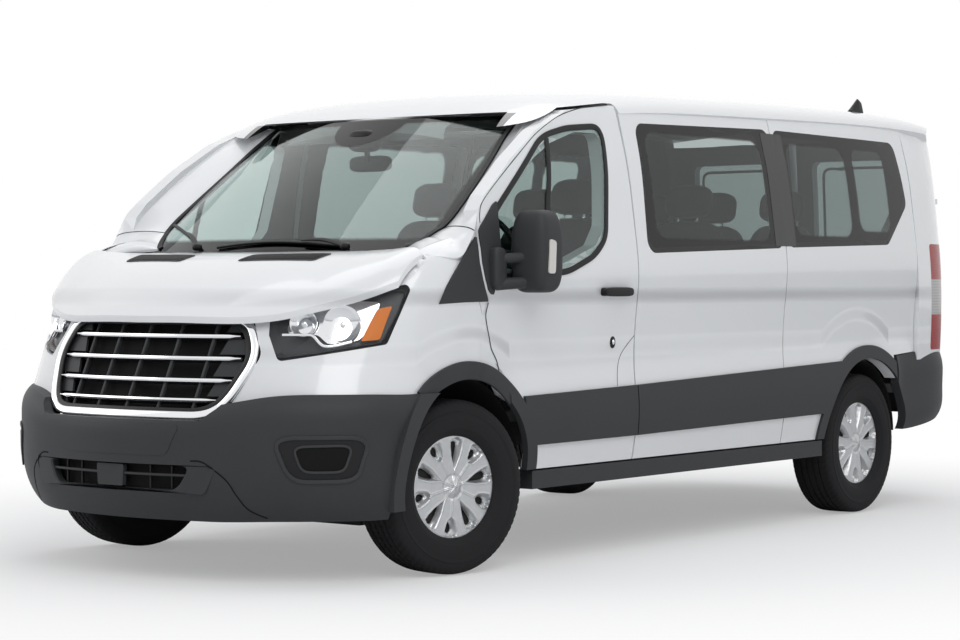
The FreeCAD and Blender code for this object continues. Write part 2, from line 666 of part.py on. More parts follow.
rear_opening = prism(rear_inner_wire, Vector(0, -rear_overhang, 0))
tail_glass = band(tail_plan, tail_section, size("glass_wall"), False, 17)
rear_pane_wire = Part.Face(rear_window_wire).makeOffset2D(-size("seat_gap")).OuterWire
rear_pane_door = tail_glass.common(prism(rear_pane_wire, Vector(0, -rear_overhang, 0)))
pane_seat = size("glass_wall") + 2 * lip_inset + size("seat_gap")
tail_recess = band(tail_plan, tail_section, pane_seat, False, 17, 2 * lip_inset)
rear_door = rear_door.cut(rear_opening).cut(tail_recess.common(rear_glass_tool))
rear_door = rear_door.fuse(door_leaves)
node("rear_door_left", one_solid(rear_door))
node("rear_door_right", one_solid(mirrored(rear_door)))
node("rear_door_glass_left", one_solid(rear_pane_door))
node("rear_door_glass_right", one_solid(mirrored(rear_pane_door)))

# Windscreen pillars: level slices from the glass edge to the door's front seam
pillar_rear_shares = [
    (0.975, 0.010, 0.630), (0.968, 0.026, 0.700), (0.948, 0.080, 0.775), (0.925, 0.150, 0.845), (0.912, 0.215, 0.898),
]
pillar_slices = []
for wide, along, high in pillar_rear_shares:
    share = (up(high) - screen_low.z) / (screen_high.z - screen_low.z)
    front = screen_low + (screen_high - screen_low) * share + Vector(size("seat_gap"), 0, 0)
    rear = Vector(across(wide), run(along), up(high))
    middle = (front + rear) * 0.5 + Vector(across(0.020), -across(0.035), 0)
    outer = [front, middle, rear]
    pillar_slices.append(ribbon(outer, [point + Vector(0, size("roof_wall"), 0) for point in outer]))
door_room = side_wall(2 * seam, size("door_wall") + 4 * seam).common(roof_gap)
pillar_left = one_solid(loft(pillar_slices).cut(door_room).cut(roof_solid).cut(fender_left))
node("windscreen_pillars", Part.makeCompound([pillar_left, mirrored(pillar_left)]))

# Black cladding along the sides
moulding_solid = side_wall(size("moulding_wall"), size("moulding_wall") - size("seat_gap"))
door_moulding_shares = [(0.110, 0.238), (0.110, 0.336), (belt_run, 0.345), (belt_run, 0.240)]
bay_moulding_shares = [(belt_run, 0.240), (belt_run, 0.345), (0.93, 0.372), (0.93, 0.252)]


def shifted_prism(shares, first_shift, last_shift):
    points = side_points(shares, across(0.45))
    points[0] += Vector(0, first_shift, 0)
    points[1] += Vector(0, first_shift, 0)
    points[2] -= Vector(0, last_shift, 0)
    points[3] -= Vector(0, last_shift, 0)
    return prism(Part.makePolygon(points + points[:1]), door_reach)


front_cladding = loft([side_section(run(along), wide, size("moulding_wall"), 2 * size("moulding_wall"))
                       for along, wide in lip_plan_shares])
door_lip_shares = [(0.029, 0.483), (0.058, 0.398), (0.080, 0.340), (0.080, sill_share), (0.20, sill_share), (0.20, 0.483)]
door_lip_points = side_points(door_lip_shares, across(0.45))
door_lip_face = Part.Face(Part.makePolygon(door_lip_points + door_lip_points[:1]))
door_strip = shifted_prism(door_moulding_shares, 0, seam / 2).cut(front_lip_room)
door_cover = front_cladding.common(door_strip.fuse(front_lip_ring.common(door_lip_face.extrude(door_reach))))
door_seat = side_wall(size("seat_gap"), size("door_wall")).common(door_face(size("seat_gap")).extrude(door_reach))
door_moulding = door_cover.cut(door_seat)
node("door_moulding_left", one_solid(door_moulding))
node("door_moulding_right", one_solid(mirrored(door_moulding)))
rear_lip = Part.makeCylinder(size("arch_radius") + size("arch_lip"), 2 * overrun,
                             Vector(across(0.62), rear_axle_y, wheel_z), Vector(1, 0, 0))
lip_bay = rear_lip.common(side_bay(0.8, corner_run))
bay_moulding = moulding_solid.common(shifted_prism(bay_moulding_shares, seam / 2, 0).fuse(lip_bay))
bay_moulding = one_solid(bay_moulding.cut(rear_arch).cut(bumper_room))
rocker_low = up(0.150)
rocker_box = box(Vector(across(0.86), run(0.136), rocker_low), Vector(across(0.965), run(0.90), up(sill_share) - seam))
rocker_web = box(Vector(across(0.86), run(0.16), rocker_low),
                 Vector(across(0.86) + size("trim_wall"), run(0.86), floor_bottom - size("seat_gap")))
rocker = one_solid(rocker_box.fuse(rocker_web).cut(front_arch).cut(rear_arch))
bay_solids = [bay_moulding, rocker]
node("body_cladding", Part.makeCompound(bay_solids + [mirrored(solid) for solid in bay_solids]))

# Wheels: a tyre and a covered rim on each hub, drawn about the local X axis
def body_on(label):
    body = doc.addObject("PartDesign::Body", label)
    body.Label = label
    return body


def plane_of(body, role):
    for feature in body.Origin.OriginFeatures:
        if feature.Role == role:
            return feature
    return None


def outline_sketch(body, role, name, points):
    """A closed outline on one of the body's own origin planes."""
    sketch = body.newObject("Sketcher::SketchObject", name)
    sketch.AttachmentSupport = (plane_of(body, role), [""])
    sketch.MapMode = "FlatFace"
    count = len(points)
    for index in range(count):
        first = Vector(points[index][0], points[index][1], 0)
        last = Vector(points[(index + 1) % count][0], points[(index + 1) % count][1], 0)
        sketch.addGeometry(Part.LineSegment(first, last), False)
    for index in range(count):
        sketch.addConstraint(Sketcher.Constraint("Coincident", index, 2, (index + 1) % count, 1))
    return sketch


def revolved(body, sketch, name, axis):
    feature = body.newObject("PartDesign::Revolution", name)
    feature.Profile = sketch
    feature.ReferenceAxis = (sketch, [axis])
    feature.Angle = 360
    sketch.Visibility = False
    return feature


tyre_half = size("tyre_width") / 2
tyre_radius = size("tyre_radius")
bead = size("bead_radius")
rim_radius = size("rim_radius")
rim_half = size("rim_width") / 2
rim_wall = size("rim_wall")
hub = size("hub_radius")
disc_inner = rim_half * 0.62
seat_half = rim_half * 0.9
tyre_shares = [(1.0, 0.42), (0.95, 0.84), (0.74, 1.0)]


def tyre_points():
    bead_half = seat_half - size("seat_gap")
    outer = [(bead_half, bead + size("seat_gap")), (bead_half, rim_radius + size("seat_gap"))]
    outer += [(tyre_half * wide, bead + (tyre_radius - bead) * high) for wide, high in tyre_shares]
    return outer + [(-x, r) for x, r in reversed(outer)]


rim_shares = [
    (1.0, 1.0), (1.0, 0.90), (0.84, 0.86), (0.76, 0.62), (0.88, 0.30), (0.96, 0.24), (0.96, 0.0),
    (0.62, 0.0), (0.62, 0.24), (0.58, 0.62), (0.66, 0.86), (-1.0, 0.86), (-1.0, 1.0), (-0.9, 1.0),
]


def rim_points():
    points = [(rim_half * wide, rim_radius * high) for wide, high in rim_shares]
    return points + [(-seat_half, bead), (seat_half, bead), (seat_half, rim_radius)]


def wheel_place(x, y, turn):
    return Placement(Vector(x, y, wheel_z), Rotation(Vector(0, 0, 1), turn))


steer_rest = -size("steer_rest")
kingpin_x = size("front_track") / 2 - size("kingpin_inset")


def steered(placement, side):
    """Turned with the knuckle about its upright pin."""
    pin = Vector(side * kingpin_x, front_axle_y, wheel_z)
    turn = Placement(Vector(0, 0, 0), Rotation(Vector(0, 0, 1), steer_rest), pin)
    return turn.multiply(placement)


wheel_places = {}
for side_name, side, flip in (("left", 1, 0), ("right", -1, 180)):
    front_place = wheel_place(side * size("front_track") / 2, front_axle_y, flip)
    wheel_places["front_" + side_name] = steered(front_place, side)
    wheel_places["rear_" + side_name] = wheel_place(side * size("rear_track") / 2, rear_axle_y, flip)

for corner, place in wheel_places.items():
    tyre = body_on("tyre_" + corner)
    sketch = outline_sketch(tyre, "XZ_Plane", "tyre_outline_" + corner, tyre_points())
    revolved(tyre, sketch, "tyre_turn_" + corner, "H_Axis")
    wheel = body_on("wheel_" + corner)
    sketch = outline_sketch(wheel, "XZ_Plane", "rim_outline_" + corner, rim_points())
    revolved(wheel, sketch, "rim_turn_" + corner, "H_Axis")
    doc.recompute()
    hole_sketch = outline_sketch(wheel, "YZ_Plane", "hole_outline_" + corner, [
        (-rim_radius * 0.13, rim_radius * 0.46), (rim_radius * 0.13, rim_radius * 0.46),
        (rim_radius * 0.22, rim_radius * 0.80), (-rim_radius * 0.22, rim_radius * 0.80)])
    pocket = wheel.newObject("PartDesign::Pocket", "hole_" + corner)
    pocket.Profile = hole_sketch
    pocket.Type = "ThroughAll"
    pocket.Midplane = True
    pattern = wheel.newObject("PartDesign::PolarPattern", "holes_" + corner)
    pattern.Originals = [pocket]
    pattern.Axis = (hole_sketch, ["N_Axis"])
    pattern.Angle = 360
    pattern.setExpression("Occurrences", "sizes.spoke_count")
    wheel.Tip = pattern
    tyre.Placement = place
    wheel.Placement = place
    parts.extend([tyre, wheel])


# Knuckles: a hub, the pin that it turns on and the arm that steers it
def primitive(kind, name, bindings, placement=None):
    feature = doc.addObject("Part::" + kind, name)
    for prop, expression in bindings.items():
        feature.setExpression(prop, expression)
    if placement:
        feature.Placement = placement
    return feature


def fused(label, shapes):
    feature = doc.addObject("Part::MultiFuse", label)
    feature.Shapes = shapes
    feature.Label = label
    parts.append(feature)
    return feature


along_x = Rotation(Vector(0, 1, 0), 90)
pin_half = rim_radius * 0.5
pin_radius = rim_radius * 0.15
running_gap = size("seat_gap")
for side_name, side in (("left", 1), ("right", -1)):
    turn = 90 if side > 0 else -90
    hub_start = Vector(side * kingpin_x, front_axle_y, wheel_z)
    hub_piece = primitive("Cylinder", "hub_" + side_name, {"Radius": "sizes.hub_radius * 0.72"})
    hub_piece.Height = size("kingpin_inset") + disc_inner - running_gap
    hub_piece.Placement = steered(Placement(hub_start, Rotation(Vector(0, 1, 0), turn)), side)
    pin_piece = primitive("Cylinder", "pin_" + side_name, {"Radius": "sizes.rim_radius * 0.15",
                                                           "Height": "sizes.rim_radius"})
    pin_piece.Placement = steered(Placement(Vector(side * kingpin_x, front_axle_y, wheel_z - pin_half),
                                            Rotation()), side)
    drum = primitive("Cylinder", "brake_" + side_name, {"Radius": "sizes.rim_radius * 0.62"})
    drum.Height = size("kingpin_inset") * 0.4
    drum_start = Vector(side * (kingpin_x + size("kingpin_inset") * 0.7), front_axle_y, wheel_z)
    drum.Placement = steered(Placement(drum_start, Rotation(Vector(0, 1, 0), turn)), side)
    fused("knuckle_" + side_name, [hub_piece, pin_piece, drum])

# Chassis: two rails, cross members and the arms that hold the knuckles
rail_bottom = size("rail_bottom") + size("rail_width")
rail_half = size("rail_offset")
rail_width = size("rail_width")
frame_pieces = []


def frame_box(name, low, high):
    piece = doc.addObject("Part::Box", name)
    piece.Length = high.x - low.x
    piece.Width = high.y - low.y
    piece.Height = high.z - low.z
    piece.Placement = Placement(low, Rotation())
    frame_pieces.append(piece)
    return piece


for side_name, side in (("left", 1), ("right", -1)):
    inner = min(side * rail_half, side * (rail_half + rail_width))
    for end_name, pad_y in (("front", run(0.15)), ("rear", run(1.66))):
        frame_box("jack_pad_%s_%s" % (end_name, side_name),
                  Vector(inner, pad_y - rail_width / 2, rail_bottom - size("trim_wall")),
                  Vector(inner + rail_width, pad_y + rail_width / 2, rail_bottom + size("trim_wall")))
    frame_box("rail_" + side_name, Vector(inner, frame_front, rail_bottom),
              Vector(inner + rail_width, frame_rear, floor_bottom))
    for arm_name, arm_z in (("lower", wheel_z - pin_half - pin_radius - running_gap),
                            ("upper", wheel_z + pin_half + running_gap)):
        reach = side * (kingpin_x + pin_radius)
        root_x = side * rail_half
        frame_box("arm_%s_%s" % (arm_name, side_name),
                  Vector(min(reach, root_x), front_axle_y - pin_radius, arm_z),
                  Vector(max(reach, root_x), front_axle_y + pin_radius, arm_z + pin_radius))
cross_half = rail_half + rail_width
cross_low = wheel_z - pin_half - 2 * pin_radius
engine_low = rail_bottom - rail_width
frame_box("front_cross", Vector(-cross_half, front_axle_y - rail_width, cross_low),
          Vector(cross_half, front_axle_y + rail_width, engine_low))
for side_name, side in (("left", 1), ("right", -1)):
    inner = min(side * rail_half, side * (rail_half + rail_width))
    frame_box("cross_riser_" + side_name, Vector(inner, front_axle_y - rail_width, engine_low),
              Vector(inner + rail_width, front_axle_y + rail_width, rail_bottom))
for number, along in enumerate((-0.6, 0.3, 0.55, 0.8, 1.8)):
    frame_box("cross_%d" % number, Vector(-rail_half, run(along), rail_bottom + rail_width / 2),
              Vector(rail_half, run(along) + rail_width, floor_bottom - rail_width / 3))
fused("chassis_frame", frame_pieces)

# Rear axle: a beam with its differential, carried on two leaf springs
beam = primitive("Cylinder", "axle_beam", {"Radius": "sizes.axle_radius"})
beam_half = size("rear_track") / 2 - rim_half
beam.Height = 2 * beam_half
beam.Placement = Placement(Vector(-beam_half, rear_axle_y, wheel_z), along_x)
differential = primitive("Cylinder", "differential", {"Radius": "sizes.axle_radius * 2.8"})
differential.Height = size("axle_radius") * 4
differential.Placement = Placement(Vector(0, rear_axle_y - size("axle_radius") * 2.2, wheel_z),
                                   Rotation(Vector(1, 0, 0), -90))
axle_pieces = [beam, differential]
for side_name, side in (("left", 1), ("right", -1)):
    hub_start = Vector(side * (beam_half - rim_wall), rear_axle_y, wheel_z)
    hub_piece = primitive("Cylinder", "rear_hub_" + side_name, {"Radius": "sizes.hub_radius * 0.72"})
    hub_piece.Height = rim_half + disc_inner + rim_wall - running_gap
    hub_piece.Placement = Placement(hub_start, Rotation(Vector(0, 1, 0), side * 90))
    drum = primitive("Cylinder", "rear_drum_" + side_name, {"Radius": "sizes.rim_radius * 0.62"})
    drum.Height = rim_half * 0.8
    drum.Placement = Placement(hub_start + Vector(side * rim_half * 0.6, 0, 0), Rotation(Vector(0, 1, 0), side * 90))
    leaf_x = side * (rail_half + rail_width / 2)
    leaf = doc.addObject("Part::Box", "leaf_" + side_name)
    leaf.Length = rail_width * 0.8
    leaf.Width = wheelbase * 0.4
    leaf.Height = rim_wall * 3
    leaf.Placement = Placement(Vector(leaf_x - rail_width * 0.4, rear_axle_y - wheelbase * 0.2,
                                      wheel_z + size("axle_radius") - rim_wall), Rotation())
    for number, shift in enumerate((-0.19, 0.17)):
        shackle = doc.addObject("Part::Box", "shackle_%s_%d" % (side_name, number))
        shackle.Length = rail_width * 0.8
        shackle.Width = rail_width
        shackle.Height = rail_bottom - (wheel_z + size("axle_radius") - rim_wall)
        shackle.Placement = Placement(Vector(leaf_x - rail_width * 0.4, rear_axle_y + wheelbase * shift,
                                             wheel_z + size("axle_radius") - rim_wall), Rotation())
        axle_pieces.append(shackle)
    axle_pieces.extend([hub_piece, drum, leaf])
fused("rear_axle", axle_pieces)

# Engine: one plain block on the front cross member
engine = primitive("Box", "engine", {"Length": "sizes.engine_width", "Width": "sizes.engine_length",
                                     "Height": "sizes.engine_height"})
engine.Label = "engine"
engine.Placement = Placement(Vector(-size("engine_width") / 2, front_axle_y - size("engine_length") * 0.72, engine_low),
                             Rotation())
parts.append(engine)

# Radiator: a plain block that stands on the frame's front member and backs the closed hood
radiator_half = size("rail_offset") - rail_width
radiator_front = frame_front + running_gap
radiator = box(Vector(-radiator_half, radiator_front, floor_bottom - rail_width / 3 + size("seat_gap")),
               Vector(radiator_half, radiator_front + rail_width * 0.7, up(0.6)))
hood_rest = hood_loft(0)
hood_rest.translate(Vector(0, 0, -2 * size("seat_gap")))
node("radiator", one_solid(radiator.cut(hood_rest)))

# Fuel tank under the floor, on the left
tank_box = primitive("Box", "tank_box", {"Length": "sizes.tank_width * 0.8", "Width": "sizes.tank_length",
                                         "Height": "sizes.tank_height"})
tank_box.Placement = Placement(Vector(cross_half + running_gap, run(0.42), floor_bottom - size("tank_height")), Rotation())
doc.recompute()
tank = doc.addObject("Part::Fillet", "fuel_tank")
tank.Base = tank_box
tank.Edges = [(index, rail_width / 2, rail_width / 2) for index in (2, 4, 6, 8)]
tank.Label = "fuel_tank"
parts.append(tank)

# Floor: fits between the walls, open over the wheels
wall_fit = side_wall(seam, size("side_wall") + seam)
door_fit = side_wall(seam, size("door_wall") + 2 * seam)
floor_sheet = box(Vector(0, run(0.09), floor_bottom), Vector(across(0.99), run(1.84), size("floor_top")))
bumper_fit = band(rear_plan, blended(rear_side_shares, rear_side_shares), size("bumper_wall") + 2 * seam, True, 29, seam)
floor_sheet = one_solid(floor_sheet.cut(wall_fit).cut(bumper_fit))
door_zone = box(Vector(across(0.8), run(0), 0), Vector(across(1.2), run(belt_run) + seam, roof_height))
floor_sheet = floor_sheet.cut(door_fit.common(door_zone))
wheel_room = size("arch_radius") + size("trim_wall")
for axle_y in (front_axle_y, rear_axle_y):
    room = Part.makeCylinder(wheel_room, overrun, Vector(across(0.66), axle_y, wheel_z), Vector(1, 0, 0))
    floor_sheet = floor_sheet.cut(room)
housing_outer = Part.makeCylinder(wheel_room, across(0.24), Vector(across(0.66) - size("trim_wall"), rear_axle_y, wheel_z),
                                  Vector(1, 0, 0))
housing_inner = Part.makeCylinder(size("arch_radius"), across(0.3), Vector(across(0.66), rear_axle_y, wheel_z),
                                  Vector(1, 0, 0))
housing_top = box(Vector(0, run(0.8), size("floor_top") - running_gap), Vector(across(1), run(1.4), roof_height))
housing = housing_outer.common(housing_top).cut(housing_inner).cut(wall_fit)
floor_half = floor_sheet.fuse(housing)
floor_whole = floor_half.fuse(mirrored(floor_half))
bulkhead = box(Vector(-across(0.80), run(0.09), floor_bottom),
               Vector(across(0.80), run(0.09) + size("trim_wall"), up(0.55)))
front_room = Part.makeCylinder(wheel_room, overrun, Vector(across(0.66), front_axle_y, wheel_z), Vector(1, 0, 0))
bulkhead = bulkhead.cut(front_room).cut(mirrored(front_room))
tail_sill = box(Vector(0, run(1.80), size("floor_top") - running_gap), Vector(across(0.70), run(1.86), up(0.40)))
closed_rear = rear_door.copy()
closed_rear.translate(Vector(0, -3 * size("seat_gap"), 0))
under_rear = rear_door.copy()
under_rear.translate(Vector(0, -3 * size("seat_gap"), -seam))
tail_sill = one_solid(tail_sill.cut(closed_rear).cut(under_rear).cut(bumper_fit))
floor_whole = floor_whole.fuse([bulkhead, tail_sill, mirrored(tail_sill)]).removeSplitter()
node("floor_panel", one_solid(floor_whole))

# Dashboard and steering wheel
dash_shares = [
    (0.09, 0.44), (0.09, 0.565), (0.012, 0.565), (0.012, 0.60), (0.16, 0.625), (0.215, 0.60), (0.215, 0.53), (0.17, 0.44),
]
dash_points = [Vector(-across(0.86), run(along) + size("trim_wall") + running_gap, up(high)) for along, high in dash_shares]
dash = prism(rounded_wire(dash_points, across(0.02)), Vector(across(1.72), 0, 0))
driver_x = across(0.40)
column_lean = 58
wheel_centre = Vector(driver_x, run(0.262), up(0.635))
steering_place = Placement(wheel_centre, Rotation(Vector(1, 0, 0), -column_lean))
column_way = steering_place.Rotation.multVec(Vector(0, 0, -1))
column_start = wheel_centre + column_way * (hub * 0.4 + running_gap)
column = Part.makeCylinder(hub * 0.6, across(0.19), column_start, column_way)
node("dashboard", one_solid(dash.fuse(column)))
grip_radius = hub * 0.21
ring_points = []
for index in range(10):
    turn = 2 * math.pi * (index + 0.5) / 10
    ring_points.append(Vector(across(0.18) + grip_radius * math.cos(turn), 0, grip_radius * math.sin(turn)))
ring_face = Part.Face(Part.makePolygon(ring_points + ring_points[:1]))
ring = doc.addObject("Part::Feature", "steering_ring")
ring.Shape = ring_face.revolve(Vector(0, 0, 0), Vector(0, 0, 1), 360)
ring.Placement = steering_place
boss = primitive("Cylinder", "steering_boss", {"Radius": "sizes.hub_radius", "Height": "sizes.hub_radius * 0.6"})
boss.Placement = steering_place.multiply(Placement(Vector(0, 0, -hub * 0.4), Rotation()))
spokes = []
for number, angle in enumerate((0, 180, 270)):
    spoke = doc.addObject("Part::Box", "steering_spoke_%d" % number)
    spoke.Length = across(0.18)
    spoke.Width = hub * 0.5
    spoke.Height = hub * 0.2
    spoke.Placement = steering_place.multiply(Placement(Vector(0, 0, 0), Rotation(Vector(0, 0, 1), angle))).multiply(
        Placement(Vector(0, -hub * 0.25, -hub * 0.1), Rotation()))
    spokes.append(spoke)
fused("steering_wheel", [ring, boss] + spokes)

# Seats: one profile from the side, as wide as the seat
seat_side_shares = [
    (0.0, 0.0), (0.0, 0.335), (0.06, 0.39), (0.66, 0.37), (0.86, 0.92), (0.94, 0.95), (1.0, 0.90), (0.78, 0.26), (0.78, 0.0),
]
seat_depth = size("seat_width") * 1.30
seat_rise = up(0.42)
headrest_shares = [(0.85, 0.93), (0.87, 1.12), (0.93, 1.15), (1.0, 1.10), (0.97, 0.92)]


def seat_shape(x, along, wide, heads):
    base = Vector(x - wide / 2, run(along), size("floor_top") + running_gap)
    points = [base + Vector(0, reach * seat_depth, high * seat_rise) for reach, high in seat_side_shares]
    shape = prism(rounded_wire(points, hub * 0.5), Vector(wide, 0, 0))
    for head_x in heads:
        start = Vector(head_x - size("headrest_width") / 2, base.y, base.z)
        head = [start + Vector(0, reach * seat_depth, high * seat_rise) for reach, high in headrest_shares]
        shape = shape.fuse(prism(rounded_wire(head, hub * 0.4), Vector(size("headrest_width"), 0, 0)))
    return one_solid(shape.removeSplitter())


seat_width = size("seat_width")
node("driver_seat", seat_shape(driver_x, 0.31, seat_width, [driver_x]))
node("passenger_seat", seat_shape(-driver_x, 0.31, seat_width, [-driver_x]))
bench_solids = []
for along, wide_share in ((0.58, 2.8), (0.88, 2.5)):
    head_x = seat_width * wide_share / 3
    bench_solids.append(seat_shape(0, along, seat_width * wide_share, [-head_x, 0, head_x]))
node("bench_seats", Part.makeCompound(bench_solids))

# Mirrors: a housing on two arms from the door's corner
mirror_middle = Vector(across(1.09), run(0.095), up(0.615))
mirror_points = [(-0.085, -0.085), (-0.075, 0.095), (0.055, 0.105), (0.085, 0.02), (0.075, -0.095)]
mirror_wire = rounded_wire([mirror_middle + Vector(across(wide), -across(0.05), across(1.7 * high))
                            for wide, high in mirror_points], across(0.03))
mirror_head = prism(mirror_wire, Vector(0, across(0.12), 0))
mirror_arms = [box(Vector(across(0.985), mirror_middle.y - across(0.01), up(high)),
                   Vector(across(1.03), mirror_middle.y + across(0.03), up(high + 0.016))) for high in (0.575, 0.615)]
mirror_foot = box(Vector(across(0.99), run(0.03), up(0.55)), Vector(across(1.005), run(0.125), up(0.645)))
mirror = mirror_head.fuse(mirror_arms).fuse(mirror_foot)
mirror = one_solid(mirror.cut(side_wall(0, size("door_wall"))))
node("mirror_left", mirror)
node("mirror_right", mirrored(mirror))

# Cowl between the hood and the glass
cowl_top = screen_low.z - size("seat_gap")
cowl_half = across(0.945)
cowl_outline = [(run(-0.26), up(0.600)), (run(-0.26), up(0.612)), (run(-0.15), cowl_top),
                (run(0.010), cowl_top), (run(0.010), up(0.600))]
cowl_points = [Vector(-cowl_half, along, high) for along, high in cowl_outline]
cowl = prism(Part.makePolygon(cowl_points + cowl_points[:1]), Vector(2 * cowl_half, 0, 0))
for neighbour in (fender_left, pillar_left):
    cowl = cowl.cut(neighbour).cut(mirrored(neighbour))
cowl = cowl.cut(hood_gap)
hinge_slot = box(Vector(hood_axis.x - 2.5 * seam, run(-0.3), cowl_top - 2 * overrun),
                 Vector(hood_axis.x + 2.5 * seam, hood_axis.y + hinge_radius + seam, cowl_top + overrun))
hinge_bore = Part.makeCylinder(hinge_radius + size("seat_gap"), 8 * seam, hood_axis - Vector(4 * seam, 0, 0), Vector(1, 0, 0))
for tool in (hinge_slot, hinge_bore):
    cowl = cowl.cut(tool).cut(mirrored(tool))
node("cowl", one_solid(cowl))

doc.recompute()
faults = []
for thing in doc.Objects:
    if "Invalid" in thing.State or "Error" in thing.State:
        faults.append(thing.Name)
for part in parts:
    if part.Shape.isNull() or not part.Shape.isValid():
        faults.append(part.Label)
if faults:
    raise ValueError("not valid: " + ", ".join(faults))
for part in parts:
    part.Shape.exportStep("parts/%s.step" % part.Label)
print("nodes", len(parts))
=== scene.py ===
import bpy
import bmesh
import math
import numpy as np
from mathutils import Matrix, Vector


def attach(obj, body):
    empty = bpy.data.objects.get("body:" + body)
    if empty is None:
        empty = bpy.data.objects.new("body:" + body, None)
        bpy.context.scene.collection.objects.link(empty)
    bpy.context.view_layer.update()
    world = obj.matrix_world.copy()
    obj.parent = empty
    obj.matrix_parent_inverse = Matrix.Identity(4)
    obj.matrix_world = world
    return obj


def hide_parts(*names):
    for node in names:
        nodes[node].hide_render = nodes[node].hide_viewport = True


# A white low-roofed passenger minibus. Metres, +X its left, -Y its front, +Z up.
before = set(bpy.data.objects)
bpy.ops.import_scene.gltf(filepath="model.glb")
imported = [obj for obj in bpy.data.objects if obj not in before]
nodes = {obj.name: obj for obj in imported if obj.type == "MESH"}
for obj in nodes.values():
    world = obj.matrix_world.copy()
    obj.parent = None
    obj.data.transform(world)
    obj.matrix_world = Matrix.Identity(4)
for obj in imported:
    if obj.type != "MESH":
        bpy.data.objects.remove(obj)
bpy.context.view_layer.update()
scene = bpy.context.scene
print("frame loaded,", len(nodes), "nodes")


# Shader tools: a class for sums on values, one for a tree of nodes and one for a material
class Value:
    def __init__(self, owner, socket):
        self.owner = owner
        self.socket = socket

    def sums(self, operation, first, second=0.0):
        return self.owner.node("ShaderNodeMath", {"operation": operation}, {0: first, 1: second})

    def __add__(self, other):
        return self.sums("ADD", self, other)

    def __radd__(self, other):
        return self.sums("ADD", other, self)

    def __sub__(self, other):
        return self.sums("SUBTRACT", self, other)

    def __rsub__(self, other):
        return self.sums("SUBTRACT", other, self)

    def __mul__(self, other):
        return self.sums("MULTIPLY", self, other)

    def __rmul__(self, other):
        return self.sums("MULTIPLY", other, self)

    def __truediv__(self, other):
        return self.sums("DIVIDE", self, other)

    def __lt__(self, other):
        return self.sums("LESS_THAN", self, other)

    def __abs__(self):
        return self.sums("ABSOLUTE", self)

    def __pow__(self, other):
        return self.sums("POWER", self, other)

    def largest(self, other):
        return self.sums("MAXIMUM", self, other)

    def sine(self):
        return self.sums("SINE", self)

    def ramp(self, low, high):
        # 0 below low, 1 above high, smooth between
        return self.owner.node("ShaderNodeMapRange", {"interpolation_type": "SMOOTHSTEP"},
                               {0: self, 1: low, 2: high, 3: 0.0, 4: 1.0})


class Nodes:
    def __init__(self, tree):
        self.tree = tree
        tree.nodes.clear()

    def fill(self, socket, value):
        # a value is linked, a colour gets its fourth number, and anything else is set as it is
        if isinstance(value, Value):
            self.tree.links.new(value.socket, socket)
        else:
            socket.default_value = value + (1.0,) if socket.type == "RGBA" else value

    def node(self, kind, settings, links, out=0):
        made = self.tree.nodes.new(kind)
        for name, value in settings.items():
            setattr(made, name, value)
        for name, value in links.items():
            self.fill(made.inputs[name], value)
        return Value(self, made.outputs[out])


class Shader(Nodes):
    def __init__(self, name, **fixed):
        self.material = bpy.data.materials.new(name)
        self.material.use_nodes = True
        super().__init__(self.material.node_tree)
        self.principled = self.tree.nodes.new("ShaderNodeBsdfPrincipled")
        self.output = self.tree.nodes.new("ShaderNodeOutputMaterial")
        self.tree.links.new(self.principled.outputs[0], self.output.inputs[0])
        for name, value in fixed.items():
            self.set(name.replace("_", " "), value)

    def set(self, name, value):
        self.fill(self.principled.inputs[name], value)

    def split(self, vector):
        outputs = self.node("ShaderNodeSeparateXYZ", {}, {0: vector}).socket.node.outputs
        return [Value(self, outputs[index]) for index in range(3)]

    def place(self):
        # x, y and z of the point in the vehicle's own frame
        self.coordinates = self.node("ShaderNodeTexCoord", {}, {}, "Object")
        return self.split(self.coordinates)

    def facing(self):
        return self.split(self.node("ShaderNodeNewGeometry", {}, {}, "Normal"))

    def noise(self, scale, detail=3.0, rough=0.5):
        return self.node("ShaderNodeTexNoise", {}, {"Vector": self.coordinates, "Scale": scale,
                                                    "Detail": detail, "Roughness": rough})

    def mixed(self, share, first, second):
        return self.node("ShaderNodeMix", {"data_type": "RGBA"}, {0: share, 6: first, 7: second}, 2)

    def bump(self, height, strength, distance):
        links = {"Height": height, "Strength": strength, "Distance": distance}
        self.set("Normal", self.node("ShaderNodeBump", {}, links))


# Finishes
paintFinish = {"colour": (0.8, 0.81, 0.82), "film": (0.6, 0.6, 0.59), "filmShare": 0.22,
               "filmHeights": (0.35, 0.9), "rough": 0.28, "coat": 0.9, "lining": (0.085, 0.088, 0.09),
               "headliner": (0.3, 0.3, 0.29), "pillarLean": 0.597, "pillarEdge": 2.43, "roofHalf": 0.75,
               "lip": (1.892, -0.9, 0.745)}
pressValues = {"shoulder": (1.07, 1.15), "hollow": (0.84, 0.94), "ring": (0.52, 0.6), "high": 0.042,
               "arches": ((-1.781, 0.407), (1.417, 0.448))}
glassFinish = {"tint": (0.62, 0.71, 0.69), "dark": (0.36, 0.42, 0.41), "border": (0.01, 0.01, 0.011),
               "soft": 0.012, "panes": ((-0.42, 0.57, 1.36, 1.84, 0.08), (0.8, 1.37, 1.39, 1.84, 0.08),
                                        (1.45, 1.78, 1.42, 1.84, 0.06))}
screenValues = {"lean": 0.163, "sides": (0.972, 0.99), "low": (1.338, 1.356), "high": (1.862, 1.872),
                "patch": (0.01, 1.885), "patchHalf": (0.19, 0.125)}


